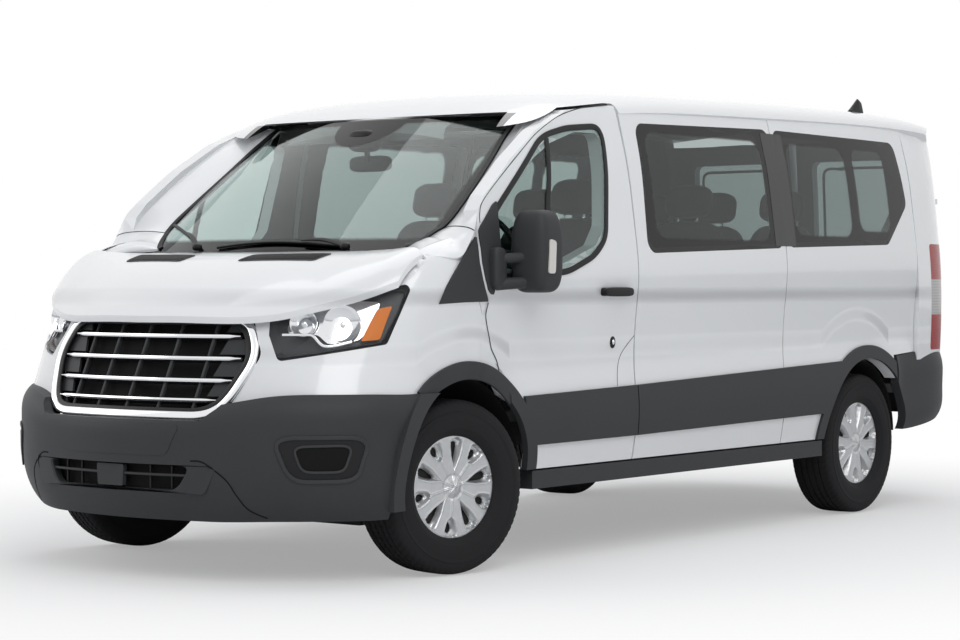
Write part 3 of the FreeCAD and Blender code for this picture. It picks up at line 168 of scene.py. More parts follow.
def pressed(y, z):
    # height of the pressings: a waist shoulder above a hollow band, and a raised ring round each arch
    low = 1.0 - z.ramp(*pressValues["hollow"])
    for archY, archZ in pressValues["arches"]:
        reach = ((y - archY) ** 2.0 + (z - archZ) ** 2.0) ** 0.5
        low = low.largest(1.0 - reach.ramp(*pressValues["ring"]))
    return z.ramp(*pressValues["shoulder"]) * pressValues["high"] + low * pressValues["high"]


def paint(name, inner=None):
    # gloss white over a thin road film near the sills; inner faces are lined
    made = Shader(name, Roughness=paintFinish["rough"], Coat_Weight=paintFinish["coat"], Coat_Roughness=0.06)
    x, y, z = made.place()
    dusty = 1.0 - z.ramp(*paintFinish["filmHeights"])
    film = (made.noise(2.4, 4.0) * 0.5 + 0.5) * dusty * paintFinish["filmShare"]
    colour = made.mixed(film, paintFinish["colour"], paintFinish["film"])
    if inner:
        # the lined face looks to the middle, to the front or down; the pillar's edge stays white
        nx, ny, nz = made.facing()
        if inner == "side":
            mask = (nx * x < -0.5) * (z - y * paintFinish["pillarLean"] < paintFinish["pillarEdge"])
        elif inner == "rear":
            mask = ny < -0.5
        else:
            mask = (nz < -0.3) * (abs(x) < paintFinish["roofHalf"])
        lining = paintFinish["headliner"] if inner == "roof" else paintFinish["lining"]
        colour = made.mixed(mask, colour, lining)
        if inner == "roof":
            # the part of the roof that dips behind the screen's top edge is printed black
            lipZ, lipY, lipX = paintFinish["lip"]
            lip = (z < lipZ) * (y < lipY) * (abs(x) < lipX)
            colour = made.mixed(lip, colour, glassFinish["border"])
        made.set("Coat Weight", paintFinish["coat"] - mask * paintFinish["coat"])
        made.set("Roughness", mask * 0.45 + paintFinish["rough"])
    made.set("Base Color", colour)
    made.bump(pressed(y, z), 1.0, 1.0)
    return made.material


def plastic(name, colour, rough=0.52, grain=900.0):
    # moulded plastic: a fine grain with faint patches
    made = Shader(name, Specular_IOR_Level=0.22)
    made.place()
    patches = made.noise(3.0, 5.0)
    made.set("Base Color", made.mixed(patches * 0.6, colour, tuple(1.5 * part for part in colour)))
    made.set("Roughness", patches * 0.12 + (rough - 0.06))
    made.bump(made.noise(grain, 2.0), 0.25, 0.0004)
    return made.material


def metal(name, colour, rough, grain=60.0):
    # polished or cast metal with a faint cloud in its gloss
    made = Shader(name, Metallic=1.0)
    made.place()
    cloud = made.noise(grain, 4.0)
    made.set("Base Color", colour)
    made.set("Roughness", cloud * 0.1 + (rough - 0.05))
    made.bump(cloud, 0.03, 0.0005)
    return made.material


def screenClear(x, z):
    # clear inside sides that lean in with height, above the lower border and outside the sensor patch
    sides = 1.0 - (abs(x) + z * screenValues["lean"]).ramp(*screenValues["sides"])
    (patchX, patchZ), (halfX, halfZ) = screenValues["patch"], screenValues["patchHalf"]
    patch = ((x - patchX) / halfX) ** 2.0 + ((z - patchZ) / halfZ) ** 2.0
    upright = z.ramp(*screenValues["low"]) * (1.0 - z.ramp(*screenValues["high"]))
    return sides * upright * patch.ramp(0.93, 1.03)


def glass(name, tint, panes=(), screen=False):
    # tinted glass that lets light through; outside each clear pane, a rounded box, it is printed black
    made = Shader(name, Roughness=0.0, Transmission_Weight=1.0, IOR=1.35)
    x, y, z = made.place()
    clear = screenClear(x, z) if screen else None
    soft = glassFinish["soft"]
    for front, back, low, high, radius in panes:
        acrossPane = abs(y - (front + back) / 2) - ((back - front) / 2 - radius)
        upPane = abs(z - (low + high) / 2) - ((high - low) / 2 - radius)
        outside = (acrossPane.largest(0.0) ** 2.0 + upPane.largest(0.0) ** 2.0) ** 0.5
        inside = 1.0 - (outside - radius).ramp(-soft, soft * 0.2)
        clear = inside if clear is None else clear.largest(inside)
    made.set("Base Color", tint if clear is None else made.mixed(clear, glassFinish["border"], tint))
    return made.material


def cloth(name, colour, thread, weave=4200.0):
    # woven cloth: crossed waves of thread with a slow fade over them
    made = Shader(name, Roughness=0.9, Sheen_Weight=0.35, Sheen_Roughness=0.5)
    x, y, z = made.place()
    warp = ((x * weave).sine() * (z * weave + y * weave).sine()) * 0.5 + 0.5
    fade = made.noise(6.0, 4.0)
    made.set("Base Color", made.mixed(warp * 0.6 + fade * 0.3, colour, thread))
    made.bump(warp, 0.12, 0.0004)
    return made.material


def banded(name, main, middle, low, high, edge=0.004):
    # a lens of one colour with a paler ribbed part between two heights
    made = Shader(name, Roughness=0.25, Specular_IOR_Level=0.3)
    x, y, z = made.place()
    share = z.ramp(low - edge, low + edge) * (1.0 - z.ramp(high - edge, high + edge))
    ribs = (z * 420.0).sine() * 0.5 + 0.5
    outer = made.mixed(ribs * 0.4, main, tuple(0.5 * part for part in main))
    made.set("Base Color", made.mixed(share, outer, made.mixed(ribs * 0.35, middle, (0.25, 0.24, 0.24))))
    return made.material


def coverPaint(name):
    # silver on the webs, and near black where the point attribute marks an opening: painted shade for the
    # dark space behind the opening
    made = Shader(name)
    made.place()
    shadedOpening = made.node("ShaderNodeAttribute", {"attribute_name": "paintedShade"}, {}, "Fac").ramp(0.3, 0.55)
    cloud = made.noise(45.0, 3.0)
    silver = made.mixed(cloud, (0.5, 0.51, 0.52), (0.58, 0.59, 0.6))
    made.set("Base Color", made.mixed(shadedOpening, silver, (0.006, 0.006, 0.006)))
    made.set("Metallic", 0.75 - shadedOpening * 0.75)
    made.set("Roughness", cloud * 0.1 + shadedOpening * 0.4 + 0.3)
    made.bump(made.noise(600.0, 2.0), 0.05, 0.0003)
    return made.material


def plain(name, colour, rough, **fixed):
    # a smooth lens or print of one colour
    return Shader(name, Base_Color=colour, Roughness=rough, **fixed).material


whitePaint = paint("whitePaint")
sidePaint = paint("sidePaint", "side")
roofPaint = paint("roofPaint", "roof")
rearPaint = paint("rearPaint", "rear")
cupPaint = paint("cupPaint")
darkPlastic = plastic("darkPlastic", (0.034, 0.035, 0.037))
cabinPlastic = plastic("cabinPlastic", (0.03, 0.031, 0.033), 0.6, 700.0)
blackPlastic = plastic("blackPlastic", (0.01, 0.01, 0.011), 0.42)
frameSteel = plastic("frameSteel", (0.02, 0.02, 0.021), 0.6, 300.0)
rubber = plastic("rubber", (0.013, 0.013, 0.014), 0.8, 240.0)
# near black: dark seams, the pockets' inner panels, and painted shade behind the grille and intake and inside
# the hood vents
deepBlack = plastic("deepBlack", (0.0035, 0.0035, 0.0036), 0.85, 200.0)
seamDark = plastic("seamDark", (0.02, 0.02, 0.02), 0.7)
linerBlack = plastic("linerBlack", (0.008, 0.008, 0.008), 0.8, 160.0)
lampDark = plastic("lampDark", (0.05, 0.052, 0.056), 0.3)
plateWhite = plastic("plateWhite", (0.55, 0.55, 0.55), 0.45)
brightChrome = metal("brightChrome", (0.82, 0.83, 0.85), 0.1)
castMetal = metal("castMetal", (0.16, 0.16, 0.17), 0.55, 40.0)
coverSilver = metal("coverSilver", (0.55, 0.56, 0.58), 0.34)
reflector = metal("reflector", (0.86, 0.87, 0.89), 0.12, 90.0)
mirrorGlass = metal("mirrorGlass", (0.75, 0.77, 0.8), 0.06, 4.0)
rimSteel = metal("rimSteel", (0.06, 0.06, 0.065), 0.55, 50.0)
seatCloth = cloth("seatCloth", (0.03, 0.032, 0.036), (0.062, 0.065, 0.07))
carpet = cloth("carpet", (0.035, 0.035, 0.037), (0.07, 0.07, 0.07), 3600.0)
headCloth = cloth("headCloth", (0.22, 0.22, 0.215), (0.32, 0.32, 0.31))
screenGlass = glass("screenGlass", glassFinish["tint"], screen=True)
doorGlass = glass("doorGlass", glassFinish["tint"])
sideGlass = glass("sideGlass", glassFinish["dark"], glassFinish["panes"])
rearGlass = glass("rearGlass", glassFinish["dark"])
tailLens = banded("tailLens", (0.38, 0.004, 0.005), (0.5, 0.48, 0.47), 0.997, 1.183)
redLens = plain("redLens", (0.38, 0.004, 0.005), 0.3, Specular_IOR_Level=0.25)
clearLens = plain("clearLens", (0.3, 0.31, 0.32), 0.03, Alpha=0.07)
fritBlack = plain("fritBlack", (0.011, 0.011, 0.012), 0.12)
amberLens = plain("amberLens", (0.72, 0.185, 0.004), 0.35, Specular_IOR_Level=0.3)
sideLens = plain("sideLens", (0.62, 0.6, 0.56), 0.1, Coat_Weight=1.0)
coverFinish = coverPaint("coverFinish")

nodeFinishes = [
    (screenGlass, "windscreen"), (sideGlass, "side_glass"), (clearLens, "headlamps"),
    (tailLens, "tail_lamps"),
    (brightChrome, "grille"), (darkPlastic, "front_bumper rear_bumper body_cladding door_moulding mirror"),
    (blackPlastic, "cowl fuel_tank"), (cabinPlastic, "dashboard steering_wheel"), (carpet, "floor_panel"),
    (seatCloth, "driver_seat passenger_seat bench_seats"), (frameSteel, "chassis_frame"),
    (castMetal, "rear_axle engine radiator knuckle"), (doorGlass, "front_door_glass"),
    (rearGlass, "rear_door_glass"), (rubber, "tyre"), (coverSilver, "wheel"), (roofPaint, "roof_panel"),
    (whitePaint, "windscreen_pillars fenders hood"), (rearPaint, "rear_door"),
    (sidePaint, "side_panel sliding_door rear_quarter front_door rear_corners")]
finishOf = {stem: finish for finish, stems in nodeFinishes for stem in stems.split()}
for name, made in nodes.items():
    stem = max((key for key in finishOf if name.startswith(key)), key=len)
    made.data.materials.clear()
    made.data.materials.append(finishOf[stem])
print("finishes on the frame")


# Surface tools: every shape is worked out as whole numpy arrays
def unit(vectors):
    # the same directions with a length of 1
    return vectors / np.linalg.norm(vectors, axis=-1, keepdims=True)


def fullTurn(count):
    # angles spread evenly round a circle, without the last one
    return np.linspace(0, 2 * np.pi, count, endpoint=False)


def circle(angle, wide, high):
    # points of a circle or oval at the given angles
    return np.stack([wide * np.cos(angle), high * np.sin(angle)], 1)


def quads(rows, columns, closeRows=False, closeColumns=True):
    # corner numbers of a grid's faces, wrapped round where asked
    row, column = np.meshgrid(np.arange(rows if closeRows else rows - 1),
                              np.arange(columns if closeColumns else columns - 1), indexing="ij")
    row, nextRow = row * columns, (row + 1) % rows * columns
    nextColumn = (column + 1) % columns
    corners = [row + column, row + nextColumn, nextRow + nextColumn, nextRow + column]
    return np.stack(corners, -1).reshape(-1, 4)


def smoothLine(points, count):
    # a cubic through the given points: each span bends by the points on both sides of it
    points = np.asarray(points, float)
    last = len(points) - 1
    share = np.linspace(0, last, count)
    first = np.minimum(share.astype(int), last - 1)
    part = (share - first)[:, None]
    a, b, c, d = [points[np.clip(first + step, 0, last)] for step in (-1, 0, 1, 2)]
    return 0.5 * (2 * b + (c - a) * part + (2 * a - 5 * b + 4 * c - d) * part**2
                  + (3 * b - a - 3 * c + d) * part**3)


def roundedLoop(corners, radius, steps=6):
    # a closed outline whose corners are parabolas that start and end radius away from the corner
    corners = np.asarray(corners, float)
    edges = [np.roll(corners, step, 0) - corners for step in (1, -1)]
    reach = [np.minimum(radius, 0.45 * np.linalg.norm(edge, axis=1, keepdims=True)) for edge in edges]
    start, end = [corners + unit(edge) * length for edge, length in zip(edges, reach)]
    share = np.linspace(0, 1, steps)[:, None, None]
    bent = start * (1 - share)**2 + 2 * corners * share * (1 - share) + end * share**2
    return bent.transpose(1, 0, 2).reshape(-1, corners.shape[1])


def densified(loop, gap):
    # a closed outline sampled evenly by its own length
    loop = np.vstack([loop, loop[:1]])
    run = np.concatenate([[0], np.cumsum(np.linalg.norm(np.diff(loop, axis=0), axis=1))])
    places = np.linspace(0, run[-1], max(8, int(run[-1] / gap)), endpoint=False)
    return np.stack([np.interp(places, run, loop[:, axis]) for axis in range(loop.shape[1])], 1)


def at(pairs, first, second, third=0.0):
    # pairs of numbers placed on two of the three axes
    pairs = np.asarray(pairs, float)
    points = np.full((len(pairs), 3), third, float)
    points[:, first] = pairs[:, 0]
    points[:, second] = pairs[:, 1]
    return points


# The two axes that each view shows, and how far outside the vehicle its points start
views = {"front": (0, 2, -3.0), "side": (1, 2, 2.0), "above": (0, 1, 2.0), "behind": (0, 2, 4.0)}
sides = ((1.0, "left"), (-1.0, "right"))


def seen(pairs, view, side=1.0):
    # pairs of numbers as points outside one face of the vehicle, mirrored where side is -1
    return at(pairs, *views[view]) * (side, 1, 1)


def outline(pairs, view, corner, steps, gap, side=1.0):
    # a table's closed outline in a view, rounded at its corners and sampled evenly
    return densified(roundedLoop(seen(pairs, view), corner, steps), gap) * (side, 1, 1)


def line(pairs, view, count, side=1.0):
    # a table's open line in a view, as a smooth curve
    return smoothLine(seen(pairs, view), count) * (side, 1, 1)


def roundedProfile(wide, high, radius=0.3):
    # a rounded bar section, centred across and standing from 0 to high
    half = wide / 2
    return roundedLoop([(-half, 0), (half, 0), (half, high), (-half, high)], radius * min(wide, high), 4)


def carried(path, profile, up, closed=False, grow=None):
    # the profile's first number lies across the path, its second along up; grow scales it point by point
    path = np.asarray(path, float)
    along = unit(np.roll(path, -1, 0) - np.roll(path, 1, 0) if closed else np.gradient(path, axis=0))
    aside = unit(np.cross(along, np.broadcast_to(np.asarray(up, float), path.shape)))
    above = np.cross(aside, along)
    size = np.ones(len(path)) if grow is None else np.asarray(grow, float)
    profile = np.asarray(profile, float)
    section = aside[:, None] * profile[:, :1] + above[:, None] * profile[:, 1:]
    points = path[:, None] + size[:, None, None] * section
    faces = [quads(len(path), len(profile), closed)]
    if not closed:
        ends = np.arange(len(profile))
        faces += [ends[None], (ends + (len(path) - 1) * len(profile))[None]]
    return points.reshape(-1, 3), faces


def bead(path, section, up, finish, closed=False, grow=None, sunk=0.0):
    # a part: a bar whose section is its width, height and corner, carried along a path
    return (*carried(path, roundedProfile(*section) - (0, sunk), up, closed, grow), finish)


def plate(loop, way, thick):
    # an outline and the same outline moved back, joined round the rim and closed by one face each side
    loop = np.asarray(loop, float)
    back = loop - np.asarray(way, float) * thick
    ring = np.arange(len(loop))
    return np.vstack([loop, back]), [quads(2, len(loop)), ring[None], (ring + len(loop))[None]]


def turned(profile, centre, axis, steps=96, closed=False, wave=None):
    # heights along the axis and radii of a profile, turned round it; a radius of 0 is a pole
    profile = np.asarray(profile, float)
    axis = unit(np.asarray(axis, float))
    first = unit(np.cross(axis, (0.0, 0.0, 1.0)))
    second = np.cross(axis, first)
    angle = fullTurn(steps)
    high = np.broadcast_to(profile[:, :1], (len(profile), steps))
    radius = np.broadcast_to(profile[:, 1:], (len(profile), steps))
    if wave is not None:
        high, radius = wave(high, radius, angle[None])
    spoke = np.cos(angle)[None, :, None] * first + np.sin(angle)[None, :, None] * second
    points = np.asarray(centre, float) + high[..., None] * axis + radius[..., None] * spoke
    return points.reshape(-1, 3), [quads(len(profile), steps, closed)]


def ball(rows, columns, power=1.0):
    # sines and cosines keep their sign and are raised to a power: 1 is round, and below 1 is squared up
    tilt = np.linspace(-np.pi / 2, np.pi / 2, rows)[:, None]
    turn = fullTurn(columns)[None]
    rise, reach, across, along = [np.sign(wave) * np.abs(wave)**power
                                  for wave in (np.sin(tilt), np.cos(tilt), np.cos(turn), np.sin(turn))]
    return np.stack([reach * across, reach * along, rise + 0 * turn], -1).reshape(-1, 3)


def pillow(centre, half, power=0.4, rows=19, columns=36, shape=None):
    # a squared-up ball, stretched to its half sizes and moved to its centre
    local = ball(rows, columns, power)
    if shape is not None:
        local = shape(local)
    return np.asarray(centre, float) + local * np.asarray(half, float), [quads(rows, columns)]


def faceCorners(name):
    # the three corners of every triangle of a CAD node
    mesh = nodes[name].data
    points = np.empty(len(mesh.vertices) * 3)
    mesh.vertices.foreach_get("co", points)
    loops = np.empty(len(mesh.loops), int)
    mesh.loops.foreach_get("vertex_index", loops)
    return points.reshape(-1, 3)[loops].reshape(-1, 3, 3)


def drape(points, names, way, lift=0.0):
    # each point slides along the way to the first face of the named nodes, and comes back by lift
    points = np.atleast_2d(np.asarray(points, float))
    way = unit(np.asarray(way, float))
    first = unit(np.cross(way, (0.31, 0.52, 0.79)))
    axes = np.stack([first, np.cross(way, first), way], 1)
    corners = np.concatenate([faceCorners(name) for name in names]) @ axes
    flat = points @ axes
    near = (corners[:, :, :2].max(1) > flat[:, :2].min(0) - 0.01).all(1)
    near &= (corners[:, :, :2].min(1) < flat[:, :2].max(0) + 0.01).all(1)
    a = corners[near, 0]
    ab = corners[near, 1] - a
    ac = corners[near, 2] - a
    area = ab[:, 0] * ac[:, 1] - ab[:, 1] * ac[:, 0]
    solid = np.abs(area) > 1e-11
    a, ab, ac, area = a[solid], ab[solid], ac[solid], area[solid]

    def depthOf(some):
        gap = some[:, None, :2] - a[:, :2]
        u = (gap[..., 0] * ac[:, 1] - gap[..., 1] * ac[:, 0]) / area
        v = (ab[:, 0] * gap[..., 1] - ab[:, 1] * gap[..., 0]) / area
        hit = (u > -1e-5) & (v > -1e-5) & (u + v < 1.00002)
        return np.where(hit, a[:, 2] + u * ab[:, 2] + v * ac[:, 2], np.inf).min(1)

    pieces = np.array_split(flat, len(flat) * max(1, len(area)) // 3000000 + 1)
    depth = np.concatenate([depthOf(some) for some in pieces])
    missed = ~np.isfinite(depth)
    if missed.all():
        raise SystemExit("nothing to drape on: " + ", ".join(names))
    if missed.any():
        gaps = np.linalg.norm(flat[missed][:, None, :2] - flat[~missed][None, :, :2], axis=2)
        depth[missed] = depth[~missed][gaps.argmin(1)]
    flat[:, 2] = depth - lift
    return flat @ axes.T


def spot(point, names, way, lift=0.0):
    # where one point lands on the named nodes
    return drape([point], names, way, lift)[0]


def shrunk(loop, rings):
    # an outline followed by rings that shrink to its middle
    middle = loop.mean(0)
    return (middle + (loop - middle) * np.linspace(1, 0, rings + 1)[:, None, None]).reshape(-1, 3)


def skin(loop, names, way, high, low=-0.002, rings=7):
    # a filled outline laid over the named nodes, with a rim below it
    points = np.vstack([drape(loop, names, way, low), drape(shrunk(loop, rings), names, way, high)])
    return points, [quads(rings + 2, len(loop))]


def makePiece(name, parts, body="body", bend=35.0, paintedShade=None):
    # parts hold points, blocks of faces and a finish; doubles merge and every face is turned outwards
    starts = np.cumsum([0] + [len(part[0]) for part in parts])
    faces, which, finishes = [], [], []
    for (points, blocks, finish), start in zip(parts, starts):
        if finish not in finishes:
            finishes.append(finish)
        for block in blocks:
            faces += (block + start).tolist()
            which += [finishes.index(finish)] * len(block)
    mesh = bpy.data.meshes.new(name)
    mesh.from_pydata(np.vstack([part[0] for part in parts]).tolist(), [], faces)
    mesh.polygons.foreach_set("material_index", which)
    if paintedShade is not None:
        mesh.attributes.new("paintedShade", "FLOAT", "POINT").data.foreach_set("value", np.asarray(paintedShade, float))
    for finish in finishes:
        mesh.materials.append(finish)
    shell = bmesh.new()
    shell.from_mesh(mesh)
    bmesh.ops.remove_doubles(shell, verts=shell.verts, dist=0.00002)
    bmesh.ops.recalc_face_normals(shell, faces=shell.faces)
    shell.to_mesh(mesh)
    shell.free()
    mesh.shade_smooth()
    mesh.set_sharp_from_angle(angle=math.radians(bend))
    piece = bpy.data.objects.new(name, mesh)
    scene.collection.objects.link(piece)
    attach(piece, body)
    return piece


forward = (0, 1, 0)
backwards = (0, -1, 0)
down = (0, 0, -1)
up = (0, 0, 1)
screenOut = unit(np.array((0.0, -0.55, 0.83)))

# Grille: a bright ring, four bright bars and dark uprights over a near-black panel, painted shade for the
# dark space behind the grille
grilleValues = {
    "corners": [(0.405, 0.654), (0.478, 0.7), (0.548, 0.885), (0.474, 1.026)], "corner": 0.07,
    "out": (0.0, -0.91, 0.41), "middle": (0, 0.84), "ring": (0.034, 0.022, 0.45), "ringSunk": 0.01,
    "rims": [((0.955, 0.915), -0.006, (0.022, 0.012)), ((1.022, 1.035), -0.04, (0.016, 0.03, 0.2))],
    "bars": [(0.961, 0.455), (0.876, 0.485), (0.792, 0.475), (0.716, 0.44)],
    "barNose": [(-0.0085, -0.012), (0.0085, -0.012), (0.0085, -0.002), (0.004, 0.003), (-0.004, 0.003),
        (-0.0085, -0.002)],
    "uprights": (-0.33, -0.165, 0.0, 0.165, 0.33), "uprightRun": (0.668, 1.012), "filler": (0.375, 0.395),
    "fillerRows": [(0.668, 0.703), (0.729, 0.779), (0.805, 0.863), (0.889, 0.948), (0.974, 1.01)],
    "fillerEdge": ([0.654, 0.7, 0.885, 1.026], [0.385, 0.455, 0.522, 0.455])}


def onGrille(pairs, out=0.0):
    # the grille leans back with height and curves back with the square of the distance from its middle
    x, z = np.asarray(pairs, float).T
    return np.stack([x, -2.598 + 0.3 * x * x + 0.454 * (z - 0.887) - out, z], 1)


corners = np.array([(-x, z) for x, z in grilleValues["corners"]] + grilleValues["corners"][::-1])
ring = densified(roundedLoop(corners, grilleValues["corner"], 8), 0.012)
out = grilleValues["out"]
parts = [bead(onGrille(ring), grilleValues["ring"], out, brightChrome, True, sunk=grilleValues["ringSunk"])]
for size, lift, section in grilleValues["rims"]:
    rim = (ring - grilleValues["middle"]) * size + grilleValues["middle"]
    parts.append(bead(onGrille(rim, lift), section, out, blackPlastic, True))
# the near-black panel behind the bars is painted shade
parts.append((*plate(onGrille(ring, -0.045), backwards, 0.004), deepBlack))
for z, half in grilleValues["bars"]:
    run = np.linspace(-half, half, 41)
    path = onGrille([(x, z) for x in run], 0.004)
    taper = np.clip((half - np.abs(run)) / 0.05, 0.25, 1)
    parts.append((*carried(path, grilleValues["barNose"], out, False, taper), brightChrome))
    parts.append(bead(path, (0.013, 0.03, 0.3), out, blackPlastic, sunk=0.042))
for x in grilleValues["uprights"]:
    path = onGrille([(x, z) for z in np.linspace(*grilleValues["uprightRun"], 12)], -0.03)
    parts.append(bead(path, (0.012, 0.018), out, darkPlastic))
inLow, inHigh = grilleValues["filler"]
for side in (-1, 1):
    for low, high in grilleValues["fillerRows"]:
        outLow, outHigh = np.interp([low, high], *grilleValues["fillerEdge"])
        block = onGrille([(side * inLow, low), (side * outLow, low), (side * outHigh, high),
                          (side * inHigh, high)], -0.016)
        parts.append((*plate(block, backwards, 0.012), darkPlastic))
grillePiece = makePiece("front_grille", parts)
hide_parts("grille")
print("grille made")

# Bumper face: a smooth plate panel, the lower intake with its bar and a near-black back of painted shade, ear
# seams and two side pockets
bumperValues = {
    "panel": [(-0.345, 0.622), (0.345, 0.622), (0.285, 0.503), (-0.285, 0.503)],
    "frame": [(-0.5, 0.4665), (0.5, 0.4665), (0.448, 0.357), (-0.448, 0.357)],
    "intake": [(-0.385, 0.464), (0.385, 0.464), (0.33, 0.371), (-0.33, 0.371)],
    "funnel": [(0.0, 0.001), (0.25, 0.001), (0.5, 0.001), (0.75, 0.001), (0.93, 0.002), (1.0, 0.008),
        (1.0, 0.04), (0.0, 0.04)],
    "block": [(-0.074, 0.462), (0.074, 0.462), (0.068, 0.378), (-0.068, 0.378)],
    "barHeight": 0.428, "uprights": (-0.29, -0.19, 0.19, 0.29),
    "ear": [(0.395, 0.486), (0.45, 0.48), (0.53, 0.418), (0.56, 0.355), (0.585, 0.3), (0.63, 0.266)],
    "pocket": [(0.7, 0.556), (0.735, 0.578), (0.93, 0.578), (0.948, 0.545), (0.925, 0.43), (0.895, 0.41),
        (0.765, 0.41), (0.735, 0.44)],
    "pocketInner": [(0.758, 0.53), (0.775, 0.545), (0.9, 0.548), (0.912, 0.53), (0.895, 0.458),
        (0.878, 0.446), (0.792, 0.446), (0.775, 0.462)],
    "pocketOut": (0.55, -0.83, 0.0)}
front = ["front_bumper"]


def inIntake(pairs, deep):
    # the bumper's front curves back with the square and the fourth power of the distance from its middle
    x, z = np.asarray(pairs, float).T
    return np.stack([x, -2.7746 + 0.3197 * x**2 + 0.1025 * x**4 + deep, z], 1)


panel = outline(bumperValues["panel"], "front", 0.015, 5, 0.02)
parts = [(*skin(panel, front, forward, 0.0022), darkPlastic)]
frameLoop = roundedLoop(bumperValues["frame"], 0.02, 12)
intakeLoop = roundedLoop(bumperValues["intake"], 0.04, 12)
layers = [inIntake(frameLoop + (intakeLoop - frameLoop) * share, deep)
          for share, deep in bumperValues["funnel"]]
parts.append((np.vstack(layers), [quads(len(layers), len(frameLoop), True)], darkPlastic))
# a near-black plate behind the intake: painted shade for the dark space there
back = inIntake(densified(np.array(bumperValues["frame"]), 0.02), 0.046)
parts.append((*plate(back, backwards, 0.004), deepBlack))
bar = inIntake([(x, bumperValues["barHeight"]) for x in np.linspace(-0.36, 0.36, 45)], 0.026)
parts.append(bead(bar, (0.01, 0.014, 0.4), backwards, darkPlastic))
block = roundedLoop(bumperValues["block"], 0.008, 4)
parts.append((*plate(inIntake(block, 0.008), backwards, 0.02), darkPlastic))
for x in bumperValues["uprights"]:
    path = inIntake([(x, z) for z in np.linspace(0.374, 0.464, 9)], 0.04)
    parts.append(bead(path, (0.008, 0.012), backwards, blackPlastic))
for side in (-1.0, 1.0):
    ear = drape(line(bumperValues["ear"], "front", 40, side), front, forward)
    parts.append(bead(ear, (0.006, 0.0012), backwards, deepBlack))
    out = bumperValues["pocketOut"] * np.array((side, 1, 1))
    for key, corner, gap, section, lift, finish in (
            ("pocket", 0.03, 0.012, (0.016, 0.007, 0.45), 0.001, blackPlastic),
            ("pocketInner", 0.02, 0.01, (0.01, 0.006, 0.45), 0.0018, deepBlack)):
        pocket = outline(bumperValues[key], "front", corner, 6, gap, side)
        parts.append(bead(drape(pocket, front, forward), section, out, darkPlastic, True))
        parts.append((*skin(pocket, front, forward, lift), finish))
makePiece("bumper_detail", parts, bend=30.0)
print("bumper detail made")

# Headlamps: a dark tray, a bright floor, two bowls, a silver brow and an amber corner under the CAD lens
lampValues = {
    "tray": [(0.535, 1.028), (0.54, 0.968), (0.592, 0.884), (0.64, 0.879), (0.76, 0.897), (0.918, 0.934),
        (0.942, 1.06), (0.944, 1.14), (0.89, 1.142)],
    "bowls": [((0.674, 1.012), 0.051), ((0.804, 1.008), 0.071)], "bowlDeep": 0.03, "out":
        (0.5, -0.85, 0.16),
    "bulb": [(-0.026, 0.0), (-0.026, 0.01), (-0.012, 0.011), (-0.006, 0.008), (-0.002, 0.0)],
    "shine": [(0.604, 0.99), (0.618, 1.052), (0.69, 1.082), (0.8, 1.098), (0.88, 1.092), (0.884, 1.0),
        (0.85, 0.944), (0.766, 0.93), (0.724, 0.966), (0.616, 0.97)],
    "brow": [(0.61, 0.966), (0.69, 0.966), (0.722, 0.962), (0.762, 0.926), (0.8, 0.925), (0.845, 0.94)],
    "amber": [(0.872, 0.942), (0.915, 0.948), (0.927, 1.078), (0.893, 1.066)]}
lens = ["headlamps"]
for side, word in sides:
    out = unit(np.array(lampValues["out"]) * (side, 1, 1))
    tray = outline(lampValues["tray"], "front", 0.012, 4, 0.012, side)
    middle = tray.mean(0)
    rim = drape(tray, lens, forward, -0.006)
    deep = drape(middle + (tray - middle) * 0.93, lens, forward, -0.046)
    bottom = drape(middle + (tray - middle) * 0.45, lens, forward, -0.048)
    core = np.repeat(bottom.mean(0)[None], len(tray), 0)
    layers = [rim, deep, bottom, core, core + (0, 0.003, 0), deep + (0, 0.003, 0), rim + (0, 0.002, 0)]
    parts = [(np.vstack(layers), [quads(7, len(tray), True)], lampDark)]
    shine = outline(lampValues["shine"], "front", 0.01, 4, 0.01, side)
    parts.append((*skin(shine, lens, forward, -0.036, -0.041, 5), reflector))
    for (x, z), radius in lampValues["bowls"]:
        place = spot((side * x, -3.0, z), lens, forward, -0.012)
        share = np.linspace(0, 1, 12)
        bowl = np.stack([-lampValues["bowlDeep"] * (1 - share**2), radius * share], 1)
        lip = [(0.002, radius + 0.003), (-0.004, radius + 0.004)]
        parts.append((*turned(np.vstack([bowl, lip, (bowl - (0.003, 0))[::-1]]), place, out, 48), reflector))
        parts.append((*turned(lampValues["bulb"], place, out, 24), brightChrome))
    brow = drape(line(lampValues["brow"], "front", 40, side), lens, forward, -0.012)
    parts.append(bead(brow, (0.011, 0.007, 0.5), out, brightChrome))
    amber = drape(outline(lampValues["amber"], "front", 0.006, 4, 0.006, side), lens, forward, -0.004)
    parts.append((*plate(amber, (side * 0.75, -0.66, 0), 0.012), amberLens))
    makePiece("headlamp_inside_" + word, parts, bend=30.0)
print("headlamps made")
